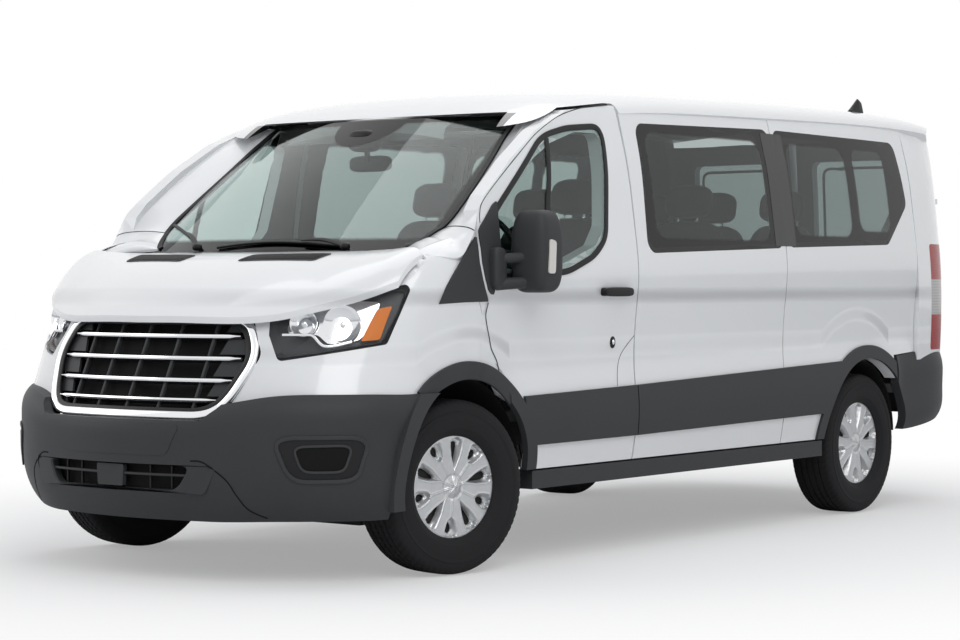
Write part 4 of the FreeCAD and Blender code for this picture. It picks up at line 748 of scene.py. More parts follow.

# Wheels: a plate-like cover with five large and five small openings, made as shallow dents painted near black
# as shade, a rim and a treaded tyre
wheelValues = {
    "radius": 0.215, "face": 0.0865, "rear": (0.8715, 1.525, 0.352), "front": (0.866, -1.775, 0.352),
    "places": [("rear_left", 1, 0), ("rear_right", -1, 0), ("front_left", 1, 1), ("front_right", -1, 1)],
    "turn": 12.0, "firstHole": 95.0, "rings": 64, "shoulderCuts": 72,
    "dents": [(0, [0.3, 0.42, 0.58, 0.75, 0.87, 0.935], [0.0, 0.045, 0.105, 0.14, 0.15, 0.0],
               [0.44, 0.5, 0.62, 0.75, 0.82, 0.86], [0.0, 0.04, 0.07, 0.085, 0.075, 0.0]),
              (36, [0.56, 0.62, 0.72, 0.84, 0.9, 0.935], [0.0, 0.085, 0.125, 0.155, 0.15, 0.0],
               [0.655, 0.68, 0.73, 0.79, 0.84, 0.87], [0.0, 0.045, 0.07, 0.08, 0.06, 0.0])],
    "tyre": [(0.0, 0.3515), (0.012, 0.3515), (0.0135, 0.3435), (0.0205, 0.3435), (0.022, 0.3513),
        (0.034, 0.3512), (0.046, 0.351), (0.0475, 0.343), (0.0545, 0.343), (0.056, 0.3508), (0.066, 0.3504),
        (0.078, 0.3495), (0.088, 0.3475), (0.0955, 0.344), (0.101, 0.3385), (0.1045, 0.331), (0.107, 0.322),
        (0.1095, 0.31), (0.11, 0.303), (0.1122, 0.3015), (0.1126, 0.2985), (0.1112, 0.296), (0.1127, 0.282),
        (0.1122, 0.265), (0.11, 0.248), (0.1072, 0.236), (0.1064, 0.233), (0.1044, 0.231), (0.101, 0.224),
        (0.095, 0.2165), (0.09, 0.211), (0.085, 0.206), (0.078, 0.2045)],
    "rim": [(0.06, 0.196), (0.08, 0.204), (0.0865, 0.214), (0.0875, 0.2205), (0.0845, 0.2215),
        (0.082, 0.215), (0.07, 0.2035), (-0.07, 0.2035), (-0.082, 0.215), (-0.0845, 0.2215),
        (-0.0875, 0.2205), (-0.0865, 0.214), (-0.06, 0.196)],
    "hub": [(0.05, 0.0), (0.05, 0.06), (0.046, 0.11), (0.048, 0.15), (0.04, 0.185), (0.036, 0.2),
        (0.03, 0.2), (0.034, 0.18), (0.04, 0.15), (0.036, 0.11), (0.02, 0.07), (0.02, 0.0)]}


def coverFace(radius, angle):
    # height of the cover above its own plane, and the share of painted shade, 1 in an opening: teardrops
    # between webs, by share of radius
    share = radius / wheelValues["radius"]
    high = -0.01 + 0.006 * share - 0.012 * np.clip((share - 0.93) / 0.07, 0, 1)**2
    high = high + 0.006 * np.clip(1 - (share / 0.17)**4, 0, 1) - 0.004 * np.exp(-((share - 0.215) / 0.022)**2)
    paintedShade = 0 * high
    for start, runs, widths, holeRuns, holeWidths in wheelValues["dents"]:
        turn = np.degrees(angle) - wheelValues["firstHole"] - start
        turn = np.radians((turn + 36) % 72 - 36)
        along = share * np.cos(turn)
        aside = np.abs(share * np.sin(turn))
        slope = np.clip((np.interp(along, runs, widths) - aside) / 0.055, -1, 1)
        fall = np.clip(slope, 0, 1)
        crest = 0.0022 * np.exp(-((slope + 0.25) / 0.22)**2) * (share < 0.93)
        high = high - 0.019 * fall * fall * (3 - 2 * fall) + crest
        shadedOpening = np.clip((np.interp(along, holeRuns, holeWidths) - aside) / 0.022, 0, 1)
        paintedShade = np.maximum(paintedShade, shadedOpening)
        high = high - 0.016 * shadedOpening
    return high, paintedShade


def treaded(high, radius, angle):
    # cuts across the shoulders and finer ones on the ribs repeat round the tread
    across = np.abs(high)
    run = angle * wheelValues["shoulderCuts"] / (2 * np.pi)
    cut = (np.mod(run + high * 22, 1.0) < 0.27) & (across > 0.06) & (radius > 0.325)
    fine = (np.mod(run - high * 30, 1.0) < 0.25) & (across < 0.048) & (radius > 0.346)
    return high + 0 * angle, radius - 0.0055 * cut - 0.0035 * fine


tyreHalf = np.array(wheelValues["tyre"])
tyreLoop = np.vstack([tyreHalf, (tyreHalf * (-1, 1))[::-1][:-1]])
for word, side, turn in wheelValues["places"]:
    steer = math.radians(wheelValues["turn"]) * turn
    axis = np.array((math.cos(steer), -math.sin(steer), 0.0)) * side
    centre = np.array(wheelValues["front" if turn else "rear"]) * (side, 1, 1)
    tyre = (*turned(tyreLoop, centre, axis, 288, True, treaded), rubber)
    tyrePiece = makePiece("tread_" + word, [tyre], "wheel_" + word, 40.0)
    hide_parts("tyre_" + word)
    rings, radius = wheelValues["rings"], wheelValues["radius"]
    grid, sweep = np.meshgrid(np.append(np.linspace(0, radius, rings), [radius - 0.001, 0.1, 0.0]),
                              fullTurn(300), indexing="ij")
    high, paintedShade = coverFace(grid, sweep)
    # the rings past the edge close the cover with a back, all painted shade
    high[rings:] = -0.05
    paintedShade[rings:] = 1.0
    first = unit(np.cross(axis, (0.0, 0.0, 1.0))) * side
    spoke = np.cos(sweep)[..., None] * first + np.sin(sweep)[..., None] * np.array((0.0, 0.0, 1.0))
    cover = centre + (high + wheelValues["face"])[..., None] * axis + grid[..., None] * spoke
    parts = [(cover.reshape(-1, 3), [quads(*grid.shape)], coverFinish),
             (*turned(wheelValues["rim"], centre, axis, 96, True), rimSteel),
             (*turned(np.array(wheelValues["hub"]) - (0.03, 0), centre, axis, 72), rimSteel)]
    paintedShades = np.append(paintedShade.reshape(-1), np.zeros(len(parts[1][0]) + len(parts[2][0])))
    wheelPiece = makePiece("cover_" + word, parts, "wheel_" + word, 50.0, paintedShades)
    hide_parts("wheel_" + word)
print("wheels made")

# Front doors: window rubber, division bar, mirror, mirror panel, handle and lock, on both sides
doorValues = {
    "rubber": [(-1.157, 1.79), (-1.006, 1.824), (-0.775, 1.843), (-0.744, 1.8), (-0.766, 1.638),
        (-0.822, 1.359), (-0.92, 1.282), (-1.123, 1.213), (-1.6, 1.19), (-1.612, 1.43), (-1.563, 1.4795),
        (-1.362, 1.647), (-1.231, 1.756)],
    "bar": [(-1.164, 1.775), (-1.19, 1.62), (-1.234, 1.44), (-1.262, 1.22)],
    "panelDoor": [(-1.7135, 1.374), (-1.701, 1.392), (-1.661, 1.428), (-1.606, 1.482), (-1.574, 1.5),
        (-1.582, 1.3), (-1.61, 1.19), (-1.635, 1.12), (-1.65, 1.122), (-1.669, 1.139), (-1.69, 1.187),
        (-1.706, 1.25), (-1.707, 1.3), (-1.7125, 1.34)],
    "panelFixed": [(-1.963, 1.084), (-1.925, 1.151), (-1.88, 1.202), (-1.833, 1.25), (-1.787, 1.298),
        (-1.744, 1.338), (-1.728, 1.356), (-1.7275, 1.34), (-1.7235, 1.3), (-1.722, 1.25), (-1.707, 1.187),
        (-1.686, 1.137), (-1.671, 1.112), (-1.664, 1.092), (-1.805, 1.09)],
    "handle": (-0.767, 1.128), "cup": (-0.772, 1.132), "cupHalf": (0.046, 0.042), "lock": (-0.757, 0.911),
    "flap": [(-0.592, 0.936), (-0.701, 0.843), (-0.728, 0.72)], "slidingHandle": (-2, -0.455, 1.13),
    "rail": (0.72, 2.02, 1.262)}
mirrorValues = {"foot": (-1.625, 1.225), "arms": [(1.262, 0.021), (1.16, 0.024)],
                "middle": (1.118, -1.462, 1.295), "half": (0.09, 0.082, 0.168), "glassBack": 0.0605,
                "glasses": [(1.352, 0.085), (1.198, 0.045)], "lampOut": 1.211,
                "lamp": [(-1.508, 1.205), (-1.462, 1.205), (-1.455, 1.335), (-1.5, 1.345)]}
flankHeights = [0.76, 0.85, 0.9, 0.95, 1.0, 1.11, 1.15, 1.2, 1.25, 1.3, 1.34, 1.38, 1.44]
flankReach = [1.0035, 1.0065, 1.01, 1.013, 1.0165, 1.022, 1.0247, 1.0253, 1.0223, 1.0171, 1.0121, 1.0069,
              0.9985]


def flankFace(y, z):
    # how far out the flank lies ahead of the front door: a curve in height that leans in towards the front
    return np.interp(z, flankHeights, flankReach) - 0.05 * np.clip(-1.7 - y, 0, 1)


def faced(pairs, side, high, low, gap=0.014, rings=7):
    # a filled outline laid on the flank's worked-out face, with a rim below it
    loop = densified(seen(pairs, "side"), gap)
    points = np.vstack([loop, shrunk(loop, rings)])
    lift = np.where(np.arange(len(points)) < len(loop), low, high)
    points[:, 0] = side * (flankFace(points[:, 1], points[:, 2]) + lift)
    return points, [quads(rings + 2, len(loop))]


def tapered(local):
    # the mirror narrows towards its top and its back is flat
    local = local.copy()
    rise = local[:, 2:]
    local[:, :2] *= 1 - 0.16 * np.clip(rise, 0, 1)**2 - 0.08 * np.clip(-rise, 0, 1)**2
    local[:, 1] = np.minimum(local[:, 1], 0.72)
    return local


def handleParts(place, out, side, feet):
    # a long grip that stands off the panel on two feet
    made = [(*pillow(place + (side * out, 0, 0), (0.0085, 0.108, 0.02), 0.5), blackPlastic)]
    footOut, footHalf = feet
    for shift in (-0.088, 0.088):
        foot = pillow(place + (side * footOut, shift, 0), (footHalf, 0.02, 0.018), 0.5, 13, 24)
        made.append((*foot, blackPlastic))
    return made


for side, word in sides:
    turnTo = np.array((side, 1.0, 1.0))
    inwards = (-side, 0.0, 0.0)
    outwards = (side, 0.0, 0.12)
    doorBody = "front_door_" + word
    on = [doorBody, "front_door_glass_" + word]
    loop = drape(outline(doorValues["rubber"], "side", 0.05, 7, 0.014, side), on, inwards, -0.001)
    bar = drape(line(doorValues["bar"], "side", 24, side), on, inwards, -0.001)
    makePiece("window_rubber_" + word, [bead(loop, (0.026, 0.006, 0.45), outwards, blackPlastic, True),
                                        bead(bar, (0.03, 0.005, 0.4), outwards, blackPlastic)], doorBody)
    panel = densified(seen(doorValues["panelDoor"], "side", side), 0.014)
    parts = [(*skin(panel, on, inwards, 0.007), darkPlastic)]
    base = spot((side * 2, *mirrorValues["foot"]), on, inwards)
    parts.append((*pillow(base + turnTo * (0.012, 0.0, 0.0), (0.03, 0.04, 0.085), 0.5), darkPlastic))
    for z, thick in mirrorValues["arms"]:
        path = [(base[0] * side + 0.01, -1.628, z), (1.06, -1.59, z + 0.004), (1.105, -1.52, z + 0.01)]
        profile = circle(fullTurn(16), thick * 0.9, thick)
        parts.append((*carried(smoothLine(path * turnTo, 14), profile, up), darkPlastic))
    middle = np.array(mirrorValues["middle"]) * turnTo
    parts.append((*pillow(middle, mirrorValues["half"], 0.42, 31, 48, tapered), darkPlastic))
    for z, high in mirrorValues["glasses"]:
        back = middle[1] + mirrorValues["glassBack"]
        corners = [(middle[0] + across, back, z + rise) for across, rise in (
            (-0.07, -high), (0.07, -high), (0.068, high), (-0.068, high))]
        parts.append((*plate(roundedLoop(corners, 0.02, 6), forward, 0.003), mirrorGlass))
    lampLoop = roundedLoop(at(mirrorValues["lamp"], 1, 2, mirrorValues["lampOut"]), 0.014, 5) * turnTo
    parts.append((*plate(lampLoop, (side, 0, 0), 0.006), sideLens))
    mirrorPiece = makePiece("door_mirror_" + word, parts, doorBody, 40.0)
    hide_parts("mirror_" + word)
    makePiece("mirror_panel_" + word, [(*faced(doorValues["panelFixed"], side, 0.0035, -0.006), darkPlastic)])
    cup = seen(circle(fullTurn(40), *doorValues["cupHalf"]) + doorValues["cup"], "side", side)
    parts = [(*skin(cup, [doorBody], inwards, 0.0008), cupPaint)]
    place = spot((side * 2, *doorValues["handle"]), [doorBody], inwards)
    parts += handleParts(place, 0.024, side, (0.01, 0.014))
    place = spot((side * 2, *doorValues["lock"]), [doorBody], inwards)
    parts.append((*pillow(place, (0.006, 0.02, 0.026), 0.9), blackPlastic))
    parts.append((*pillow(place + turnTo * (0.003, 0, 0), (0.006, 0.009, 0.012), 0.9, 11, 20), brightChrome))
    if side > 0:
        path = drape(line(doorValues["flap"], "side", 30, side), [doorBody], inwards)
        parts.append(bead(path, (0.003, 0.0007), (side, 0, 0), seamDark))
    makePiece("door_handle_" + word, parts, doorBody)
place = spot(doorValues["slidingHandle"], ["sliding_door_right"], (1, 0, 0))
parts = handleParts(place, 0.022, -1, (0.009, 0.013))
front, back, height = doorValues["rail"]
rail = drape(seen([(y, height) for y in np.linspace(front, back, 60)], "side", -1),
             ["rear_quarter_right", "rear_corners"], (1, 0, 0), -0.001)
parts.append(bead(rail, (0.024, 0.005, 0.3), (-1, 0, 0), seamDark))
makePiece("sliding_door_trim", parts)
print("door trim made")

# Screen pillars: a painted patch from the screen's edge to the door's seam, with the seam's dark line
pillarValues = {
    "screen": [(0.7, -1.0, 1.88), (0.7113, -1.0632, 1.84), (0.7251, -1.1532, 1.7755), (0.74, -1.225, 1.718),
        (0.756, -1.31, 1.65), (0.78, -1.45, 1.543), (0.796, -1.5784, 1.446), (0.7926, -1.6451, 1.3946),
        (0.7771, -1.678, 1.3739), (0.757, -1.7246, 1.3434), (0.7308, -1.7631, 1.3205),
        (0.7051, -1.7828, 1.3124)],
    "door": [(0.915, -0.92, 1.906), (0.919, -1.01, 1.883), (0.9308, -1.1242, 1.8407),
        (0.9427, -1.2356, 1.7871), (0.9568, -1.337, 1.7256), (0.9785, -1.5189, 1.6045),
        (0.9919, -1.658, 1.499), (1.0, -1.704, 1.44), (1.008, -1.738, 1.37), (1.01, -1.775, 1.318),
        (1.004, -1.82, 1.268), (0.985, -1.89, 1.266), (0.944, -1.965, 1.276)],
    "seam": [(0.89, -0.665, 1.945), (0.905, -0.8, 1.93), (0.9153, -0.9197, 1.9057),
        (0.9224, -1.0277, 1.8782), (0.9308, -1.1242, 1.8407), (0.9427, -1.2356, 1.7871),
        (0.9568, -1.337, 1.7256), (0.9785, -1.5189, 1.6045), (0.9919, -1.658, 1.499),
        (0.9983, -1.6896, 1.4463), (1.003, -1.695, 1.408)],
    "rise": [(0.0, 0.6, 0.78, 0.88, 0.95, 1.0), (0.02, 0.02, 0.034, 0.05, 0.036, 0.004)],
    "doorShift": (0.002, -0.004, 0.0), "borderShift": (-0.012, -0.001, 0.004), "split": 47, "count": 72,
    "out": (0.62, -0.62, 0.48), "outTurn": (-0.25, 0.3, 0.4), "dive": 0.035}
for side, word in sides:
    turnTo = np.array((side, 1.0, 1.0))
    count = pillarValues["count"]
    edge = smoothLine(pillarValues["screen"], count)
    far = smoothLine(pillarValues["door"], count) + pillarValues["doorShift"]
    along = np.linspace(0, 1, count)[:, None]
    rise = np.interp(along, *pillarValues["rise"])
    out = unit(np.array(pillarValues["out"]) + np.clip(along * 4 - 2.6, 0, 1) * pillarValues["outTurn"])
    shares = np.linspace(0, 1, 15)[:, None, None]
    full = 1 - np.abs(2 * shares - 1)**(2 + along)
    dive = pillarValues["dive"] * np.clip(1 - along * 14, 0, 1)
    patch = edge + (far - edge) * shares + out * (0.004 + rise * full - dive)
    layers = np.concatenate([patch, [patch[-1] - out * 0.01, patch[0] - out * 0.01]]) * turnTo
    ends = np.arange(len(layers)) * count
    blocks = [quads(len(layers), count, True, False), ends[None], (ends + count - 1)[None]]
    makePiece("screen_pillar_" + word, [(layers.reshape(-1, 3), blocks, whitePaint)])
    splitOut = out[pillarValues["split"]]
    split = (patch[:, pillarValues["split"]] + splitOut * 0.0004) * turnTo
    makePiece("pillar_seam_" + word, [bead(split, (0.004, 0.0012), splitOut * turnTo, seamDark)])
    border = (edge[2:] + pillarValues["borderShift"]) * turnTo
    makePiece("screen_border_" + word, [bead(border, (0.024, 0.006, 0.4), screenOut, blackPlastic)])
    seam = smoothLine(pillarValues["seam"], 80) * turnTo * (1.4, 1, 1)
    doorBody = "front_door_" + word
    seam = drape(seam, [doorBody], (-side, 0, 0))
    makePiece("door_seam_" + word, [bead(seam, (0.004, 0.0012), (side, 0, 0), seamDark)], doorBody)
print("pillars made")

# Arch lips on the front fenders, the wedge between fender and door, and dark liners inside all four arches
archValues = {
    "lipRadius": 0.412, "lipSection": (0.074, 0.014, 0.4), "lipCentre": (-1.781, 0.407),
    "lipAngles": (45.0, 131.5),
    "fenderTo": 79.0, "cornerPlace": (0.925, -1.99, 1.234), "cornerHalf": (0.035, 0.03, 0.028),
    "seam": [(-1.664, 1.088), (-1.6775, 1.04), (-1.6685, 1.0), (-1.6485, 0.95), (-1.6285, 0.9),
        (-1.5885, 0.85), (-1.5675, 0.801), (-1.535, 0.778), (-1.515, 0.77)],
    "filler": [(-1.7, 1.04), (-1.7, 0.835), (-1.64, 0.822), (-1.6, 0.808), (-1.56, 0.784), (-1.53, 0.762),
        (-1.506, 0.742), (-1.494, 0.756), (-1.512, 0.77), (-1.566, 0.8), (-1.587, 0.85), (-1.627, 0.9),
        (-1.647, 0.95), (-1.667, 1.0), (-1.676, 1.04)],
    "liners": [("front", 0.405, 12, 168), ("rear", 0.386, 2, 178)], "linerWide": (0.6, 0.955),
    "linerHeight": 0.385, "linerThick": 0.003}
for side, word in sides:
    outwards = (side, 0, 0)
    angle = np.radians(np.linspace(*archValues["lipAngles"], 40))
    radius = archValues["lipRadius"]
    arc = seen(circle(angle, radius, radius) + archValues["lipCentre"], "side", side)
    path = drape(arc, ["fenders"], (-side, 0, 0), -0.002)
    behind = angle < np.radians(archValues["fenderTo"])
    path[behind, 0] = side * (flankFace(arc[behind, 1], arc[behind, 2]) + 0.004)
    seam = line(archValues["seam"], "side", 60)
    seam[:, 0] = side * (flankFace(seam[:, 1], seam[:, 2]) + 0.0016)
    makePiece("fender_seam_" + word, [bead(seam, (0.005, 0.001), outwards, seamDark)])
    corner = pillow(np.array(archValues["cornerPlace"]) * (side, 1, 1), archValues["cornerHalf"], 0.6)
    makePiece("hood_corner_" + word, [(*corner, whitePaint)])
    filler = faced(archValues["filler"], side, 0.001, -0.01)
    makePiece("door_filler_" + word, [(*filler, whitePaint)])
    makePiece("arch_lip_" + word, [bead(path, archValues["lipSection"], outwards, darkPlastic)])
    parts = []
    for key, radius, low, high in archValues["liners"]:
        middle = np.array((0, wheelValues[key][1], archValues["linerHeight"]))
        arc = at(circle(np.radians(np.linspace(low, high, 60)), radius, radius), 1, 2)
        grid = np.stack([middle + arc + (side * wide, 0, 0) for wide in archValues["linerWide"]])
        grid = np.concatenate([grid, grid[::-1] + archValues["linerThick"] * arc / radius])
        ends = np.arange(4) * 60
        blocks = [quads(4, 60, True, False), np.stack([ends, ends + 59])]
        parts.append((grid.reshape(-1, 3), blocks, linerBlack))
    makePiece("arch_liner_" + word, parts)

# Hood vents, wipers, aerial and the small parts behind the screen
ventValues = {"corners": [(0.539, -2.062), (0.166, -2.112), (0.164, -2.209), (0.526, -2.158)], "ribs": 5,
              "up": (0, -0.3, 1)}
parts = []
hood = ["hood"]
outerFront, innerFront, innerRear, outerRear = np.array(ventValues["corners"])
for side in (-1.0, 1.0):
    vent = outline(ventValues["corners"], "above", 0.012, 4, 0.012, side)
    # each vent's opening is a near-black skin on the hood: painted shade for the dark inside the vent
    parts.append((*skin(vent, hood, down, 0.0012), deepBlack))
    parts.append(bead(drape(vent, hood, down), (0.008, 0.0035, 0.4), ventValues["up"], darkPlastic, True))
    for share in np.linspace(0.2, 0.8, ventValues["ribs"]):
        start = outerFront + (outerRear - outerFront) * share
        end = innerFront + (innerRear - innerFront) * share
        row = start + (end - start) * np.linspace(0.03, 0.97, 20)[:, None]
        path = drape(seen(row, "above", side), hood, down)
        parts.append(bead(path, (0.007, 0.0035, 0.4), ventValues["up"], blackPlastic))
makePiece("hood_vents", parts, "hood")

wiperValues = {"blades": [[(-0.752, -1.635, 1.415), (-0.538, -1.769, 1.366), (-0.36, -1.879, 1.311)],
                          [(-0.237, -1.899, 1.31), (0.047, -1.889, 1.33), (0.361, -1.872, 1.316),
                           (0.455, -1.8625, 1.308)]], "pivot": (0.02, -0.03, -0.012)}
parts = []
for points in wiperValues["blades"]:
    blade = drape(smoothLine(points, 40) + screenOut * 0.3, ["windscreen", "cowl"], -screenOut, 0.004)
    parts.append(bead(blade, (0.014, 0.01, 0.3), screenOut, blackPlastic))
    arm = smoothLine([blade[20] + screenOut * 0.016, (blade[20] + blade[-1]) / 2 + screenOut * 0.026,
                      blade[-1] + screenOut * 0.02 + wiperValues["pivot"]], 24)
    parts.append(bead(arm, (0.02, 0.008, 0.4), screenOut, blackPlastic, grow=np.linspace(0.6, 1.3, 24)))
    parts.append((*pillow(arm[-1], (0.02, 0.02, 0.016), 0.8), blackPlastic))
makePiece("wipers", parts)

parts = [(*pillow((0.0, -1.175, 1.69), (0.12, 0.012, 0.036), 0.55), blackPlastic),
         (*pillow((0.0, -1.215, 1.79), (0.075, 0.05, 0.05), 0.6), blackPlastic),
         bead([(0, -1.18, 1.7), (0, -1.19, 1.74), (0, -1.205, 1.78)], (0.02, 0.02), backwards, blackPlastic)]
for x in (-0.42, 0.42):
    parts.append((*pillow((x, -1.0, 1.815), (0.2, 0.085, 0.01), 0.5), headCloth))
makePiece("cabin_mirror", parts)

finValues = {"x": 0.6, "front": 2.085, "rear": 2.2, "wide": 0.045, "heights": (0.012, 0.08, 0.066),
             "section": [(-0.5, 0), (0.5, 0), (0.16, 1), (-0.16, 1)]}
run = np.linspace(finValues["front"], finValues["rear"], 16)
path = drape(seen([(finValues["x"], y) for y in run], "above"), ["roof_panel"], down, 0.001)
rise = np.interp(run, [finValues["front"], finValues["rear"] - 0.03, finValues["rear"]], finValues["heights"])
section = roundedLoop(finValues["section"], 0.2, 4)
fin = path[:, None] + at(section * (finValues["wide"], 0), 0, 2)
fin = fin + rise[:, None, None] * at(section * (0, 1), 0, 2)
ends = np.arange(len(section))
blocks = [quads(16, len(section)), ends[None], (ends + 15 * len(section))[None]]
makePiece("roof_aerial", [(fin.reshape(-1, 3), blocks, blackPlastic)])
print("hood and screen detail made")

# Tail: a handle, a blank plate place, a high lamp, window rubbers and step ribs on the rear bumper
tailValues = {"handle": (-0.075, 4.0, 1.03), "plateLamp": (0.32, 4.0, 1.078), "stopHeight": 1.975,
              "plate": [(0.16, 0.885), (0.48, 0.885), (0.48, 1.05), (0.16, 1.05)],
              "stopHalf": 0.14, "steps": (2.63, 2.755, 6),
              "pane": [(0.165, 1.372), (0.64, 1.372), (0.64, 1.8), (0.165, 1.8)], "stepHalf": 0.62}
place = spot(tailValues["handle"], ["rear_door_right"], backwards)
parts = [(*pillow(place + (0, 0.02, 0), (0.02, 0.009, 0.085), 0.5), blackPlastic)]
for shift in (-0.068, 0.068):
    parts.append((*pillow(place + (0, 0.008, shift), (0.018, 0.014, 0.016), 0.5, 13, 24), blackPlastic))
makePiece("rear_handle", parts, "rear_door_right")
on = ["rear_door_left"]
plateLoop = outline(tailValues["plate"], "behind", 0.012, 4, 0.014)
parts = [(*skin(plateLoop, on, backwards, 0.004), plateWhite),
         bead(drape(plateLoop, on, backwards), (0.012, 0.008, 0.4), forward, blackPlastic, True)]
place = spot(tailValues["plateLamp"], on, backwards)
parts.append((*pillow(place + (0, 0.006, 0), (0.105, 0.016, 0.014), 0.5), blackPlastic))
makePiece("rear_plate", parts, "rear_door_left")
half = tailValues["stopHalf"]
stop = seen([(x, tailValues["stopHeight"]) for x in np.linspace(-half, half, 16)], "behind")
stop = drape(stop, ["roof_panel"], backwards, -0.001)
makePiece("high_stop_lamp", [bead(stop, (0.022, 0.006, 0.4), forward, redLens)])
for side, word in sides[::-1]:
    on = ["rear_door_" + word, "rear_door_glass_" + word]
    pane = drape(outline(tailValues["pane"], "behind", 0.05, 6, 0.016, side), on, backwards, -0.001)
    makePiece("rear_rubber_" + word, [bead(pane, (0.016, 0.004, 0.4), forward, blackPlastic, True)],
              "rear_door_" + word)
parts = []
for y in np.linspace(*tailValues["steps"]):
    row = seen([(x, y) for x in np.linspace(-tailValues["stepHalf"], tailValues["stepHalf"], 40)], "above")
    parts.append(bead(drape(row, ["rear_bumper"], down, -0.001), (0.01, 0.003, 0.4), up, blackPlastic))
makePiece("step_ribs", parts)
print("tail made")

# Seats: crowned cushions, backs and headrests that pull in between their corners, on plain bases
seatValues = {
    "rows": [("driver", [0.412], -0.752, 0.245), ("passenger", [-0.412], -0.752, 0.245),
             ("bench", [-0.467, 0.0, 0.467], 0.139, 0.229), ("bench", [-0.417, 0.0, 0.417], 1.129, 0.204)],
    "cushion": (0.238, 0.925, 0.232, 0.066), "back": (0.515, 1.205, 0.062, 0.262),
    "head": (0.56, 1.563, 0.048, 0.082), "headWide": 0.135, "lean": 11.0, "groove": 0.62,
    "posts": [(0.548, 1.425), (0.553, 1.46), (0.559, 1.5)], "postShift": 0.055, "base": (0.29, 0.75)}


def pad(centre, half, lean=0.0, power=4.5, face=1, grooves=(), narrow=0.0):
    # a ball pushed out to |x|^p + |y|^p + |z|^p = 1, crowned on one face and pressed in along its grooves
    local = ball(49, 80)
    local = local / (np.abs(local)**power).sum(1, keepdims=True)**(1 / power)
    width, depth, height = local.T.copy()
    length = height if face == 1 else depth
    crown = (1 - width**2) * (1 - length**2)
    press = sum(np.exp(-((np.abs(width) - where) / 0.045)**2) for where in grooves) if grooves else 0 * width
    local[:, face] *= 0.86 + 0.16 * crown - 0.16 * press * (np.abs(local[:, face]) > 0.5)
    local[:, 0] *= (1 - 0.05 * (1 - length**2)) * (1 - narrow * np.clip(height, 0, 1)**2)
    local = local * half
    swing, stand = math.sin(math.radians(lean)), math.cos(math.radians(lean))
    return np.stack([local[:, 0], local[:, 1] * stand + local[:, 2] * swing,
                     local[:, 2] * stand - local[:, 1] * swing], 1) + centre, [quads(49, 80)]


frameParts = []
padParts = {"driver": [], "passenger": [], "bench": []}
lean, grooves = seatValues["lean"], [seatValues["groove"]]
padShapes = {"cushion": (0.0, 4.5, 2, grooves), "back": (lean, 4.5, 1, grooves, 0.14),
             "head": (lean, 3.4, 1, (), 0.08)}
for owner, places, front, half in seatValues["rows"]:
    for x in places:
        for key, shape in padShapes.items():
            y, z, deep, high = seatValues[key]
            wide = seatValues["headWide"] if key == "head" else half
            padParts[owner].append((*pad((x, front + y, z), (wide, deep, high), *shape), seatCloth))
        for shift in (-seatValues["postShift"], seatValues["postShift"]):
            post = [(x + shift, front + y, z) for y, z in seatValues["posts"]]
            frameParts.append(bead(post, (0.012, 0.012, 0.5), backwards, brightChrome))
        y, z = seatValues["base"]
        frameParts.append((*pad((x, front + y, z), (half * 0.84, 0.205, 0.108), 0.0, 9.0, 1), cabinPlastic))
makePiece("seat_bases", frameParts)
for owner, names in (("driver", "driver_seat"), ("passenger", "passenger_seat"), ("bench", "bench_seats")):
    padsPiece = makePiece(owner + "_pads", padParts[owner], "body", 60.0)
    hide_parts(names)
print("seats made")

# The printed band that joins the side windows over the seam between two panels
bandValues = {"corners": [(0.6, 1.34), (0.79, 1.34), (0.79, 1.88), (0.6, 1.88)],
              "panels": {"left": ["side_panel_left", "rear_quarter_left", "side_glass"],
                         "right": ["sliding_door_right", "rear_quarter_right", "side_glass"]}}
for side, word in sides:
    band = densified(seen(bandValues["corners"], "side", side), 0.012)
    band = skin(band, bandValues["panels"][word], (-side, 0, 0), 0.0012)
    makePiece("window_band_" + word, [(*band, fritBlack)])
print("window bands made")

# Studio: a pale floor, a pale surround and three soft lamps
studio = {"floorColour": (0.86, 0.86, 0.86), "floorSize": 120.0, "skyStrength": 0.42,
          "sky": (0.92, 0.95, 1.0), "white": (1.0, 1.0, 1.0), "fade": (1.6, 4.2),
          "camera": (6.9185, -9.4445, 1.1777), "yaw": 37.35, "pitch": -0.936, "lens": 91.24}
lamps = {
    "keyLamp": {"place": (7.5, -7.0, 7.5), "aim": (0, -0.5, 0.8), "size": 7.0, "watts": 430},
    "fillLamp": {"place": (-8.5, -6.0, 5.0), "aim": (0, 0, 0.8), "size": 7.0, "watts": 210},
    "topLamp": {"place": (0, 1.5, 9.0), "aim": (0, 0, 0), "size": 9.0, "watts": 300},
}


def pointed(name, data, place, way):
    # an object at a place that looks along a way
    made = bpy.data.objects.new(name, data)
    made.location = place
    made.rotation_euler = Vector(way).to_track_quat("-Z", "Y").to_euler()
    scene.collection.objects.link(made)
    return made


for name, values in lamps.items():
    data = bpy.data.lights.new(name, "AREA")
    data.size = values["size"]
    data.energy = values["watts"]
    pointed(name, data, values["place"], Vector(values["aim"]) - Vector(values["place"]))

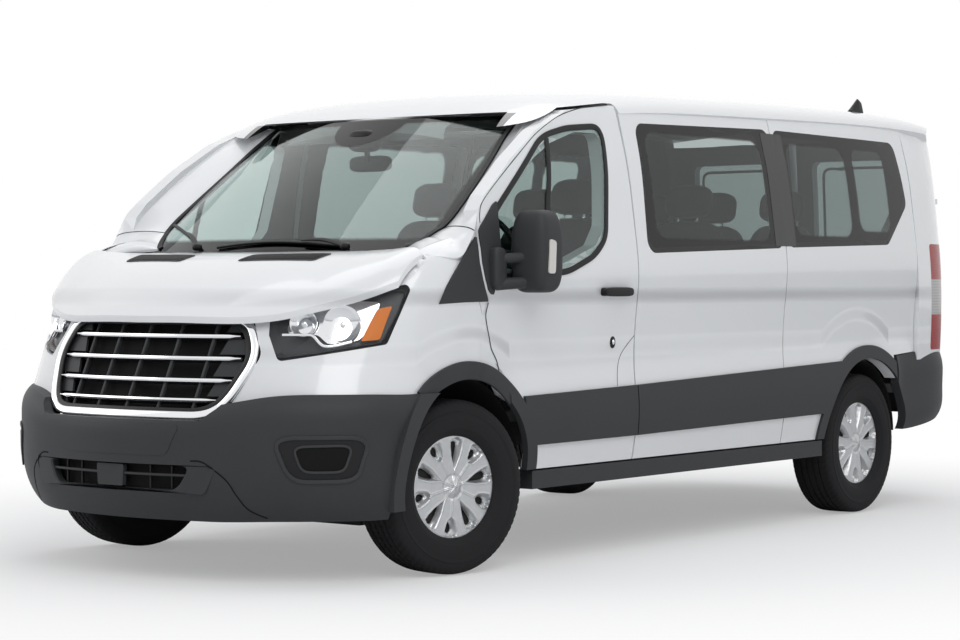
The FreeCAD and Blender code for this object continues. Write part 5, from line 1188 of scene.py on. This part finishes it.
half = studio["floorSize"] / 2
floorMesh = bpy.data.meshes.new("studioFloor")
floorCorners = [(-half, -half, 0), (half, -half, 0), (half, half, 0), (-half, half, 0)]
floorMesh.from_pydata(floorCorners, [], [(0, 1, 2, 3)])
studioFloor = bpy.data.objects.new("studioFloor", floorMesh)
floorShader = Shader("floorFinish", Base_Color=studio["floorColour"], Roughness=0.9)
x, y, z = floorShader.place()
spread = (x * x + (y * 0.75) * (y * 0.75)) ** 0.5
rays = floorShader.node("ShaderNodeLightPath", {}, {}, "Is Camera Ray")
glow = floorShader.node("ShaderNodeEmission", {}, {"Color": studio["white"], "Strength": 1.0})
factor = (spread.ramp(*studio["fade"]) * 0.65 + 0.35) * rays
surface = Value(floorShader, floorShader.principled.outputs[0])
blend = floorShader.node("ShaderNodeMixShader", {}, {0: factor, 1: surface, 2: glow})
floorShader.tree.links.new(blend.socket, floorShader.output.inputs[0])
floorMesh.materials.append(floorShader.material)
scene.collection.objects.link(studioFloor)

world = bpy.data.worlds.new("surround")
world.use_nodes = True
scene.world = world
sky = Nodes(world.node_tree)
rays = sky.node("ShaderNodeLightPath", {}, {}).socket.node.outputs
seenBy, glossy, through = [Value(sky, rays["Is " + kind + " Ray"])
                           for kind in ("Camera", "Glossy", "Transmission")]
showing = seenBy.largest(glossy).largest(through)
light = sky.node("ShaderNodeBackground", {}, {0: studio["sky"], 1: studio["skyStrength"]})
backdrop = sky.node("ShaderNodeBackground", {}, {0: studio["white"], 1: 1.0})
mixed = sky.node("ShaderNodeMixShader", {}, {0: showing, 1: light, 2: backdrop})
sky.tree.links.new(mixed.socket, sky.tree.nodes.new("ShaderNodeOutputWorld").inputs[0])

cameraData = bpy.data.cameras.new("camera")
cameraData.lens = studio["lens"]
cameraData.sensor_width = 36.0
cameraData.clip_end = 200.0
yaw = math.radians(studio["yaw"])
pitch = math.radians(studio["pitch"])
look = (-math.sin(yaw) * math.cos(pitch), math.cos(yaw) * math.cos(pitch), math.sin(pitch))
scene.camera = pointed("camera", cameraData, studio["camera"], look)
scene.view_settings.view_transform = "Standard"
print("studio ready")
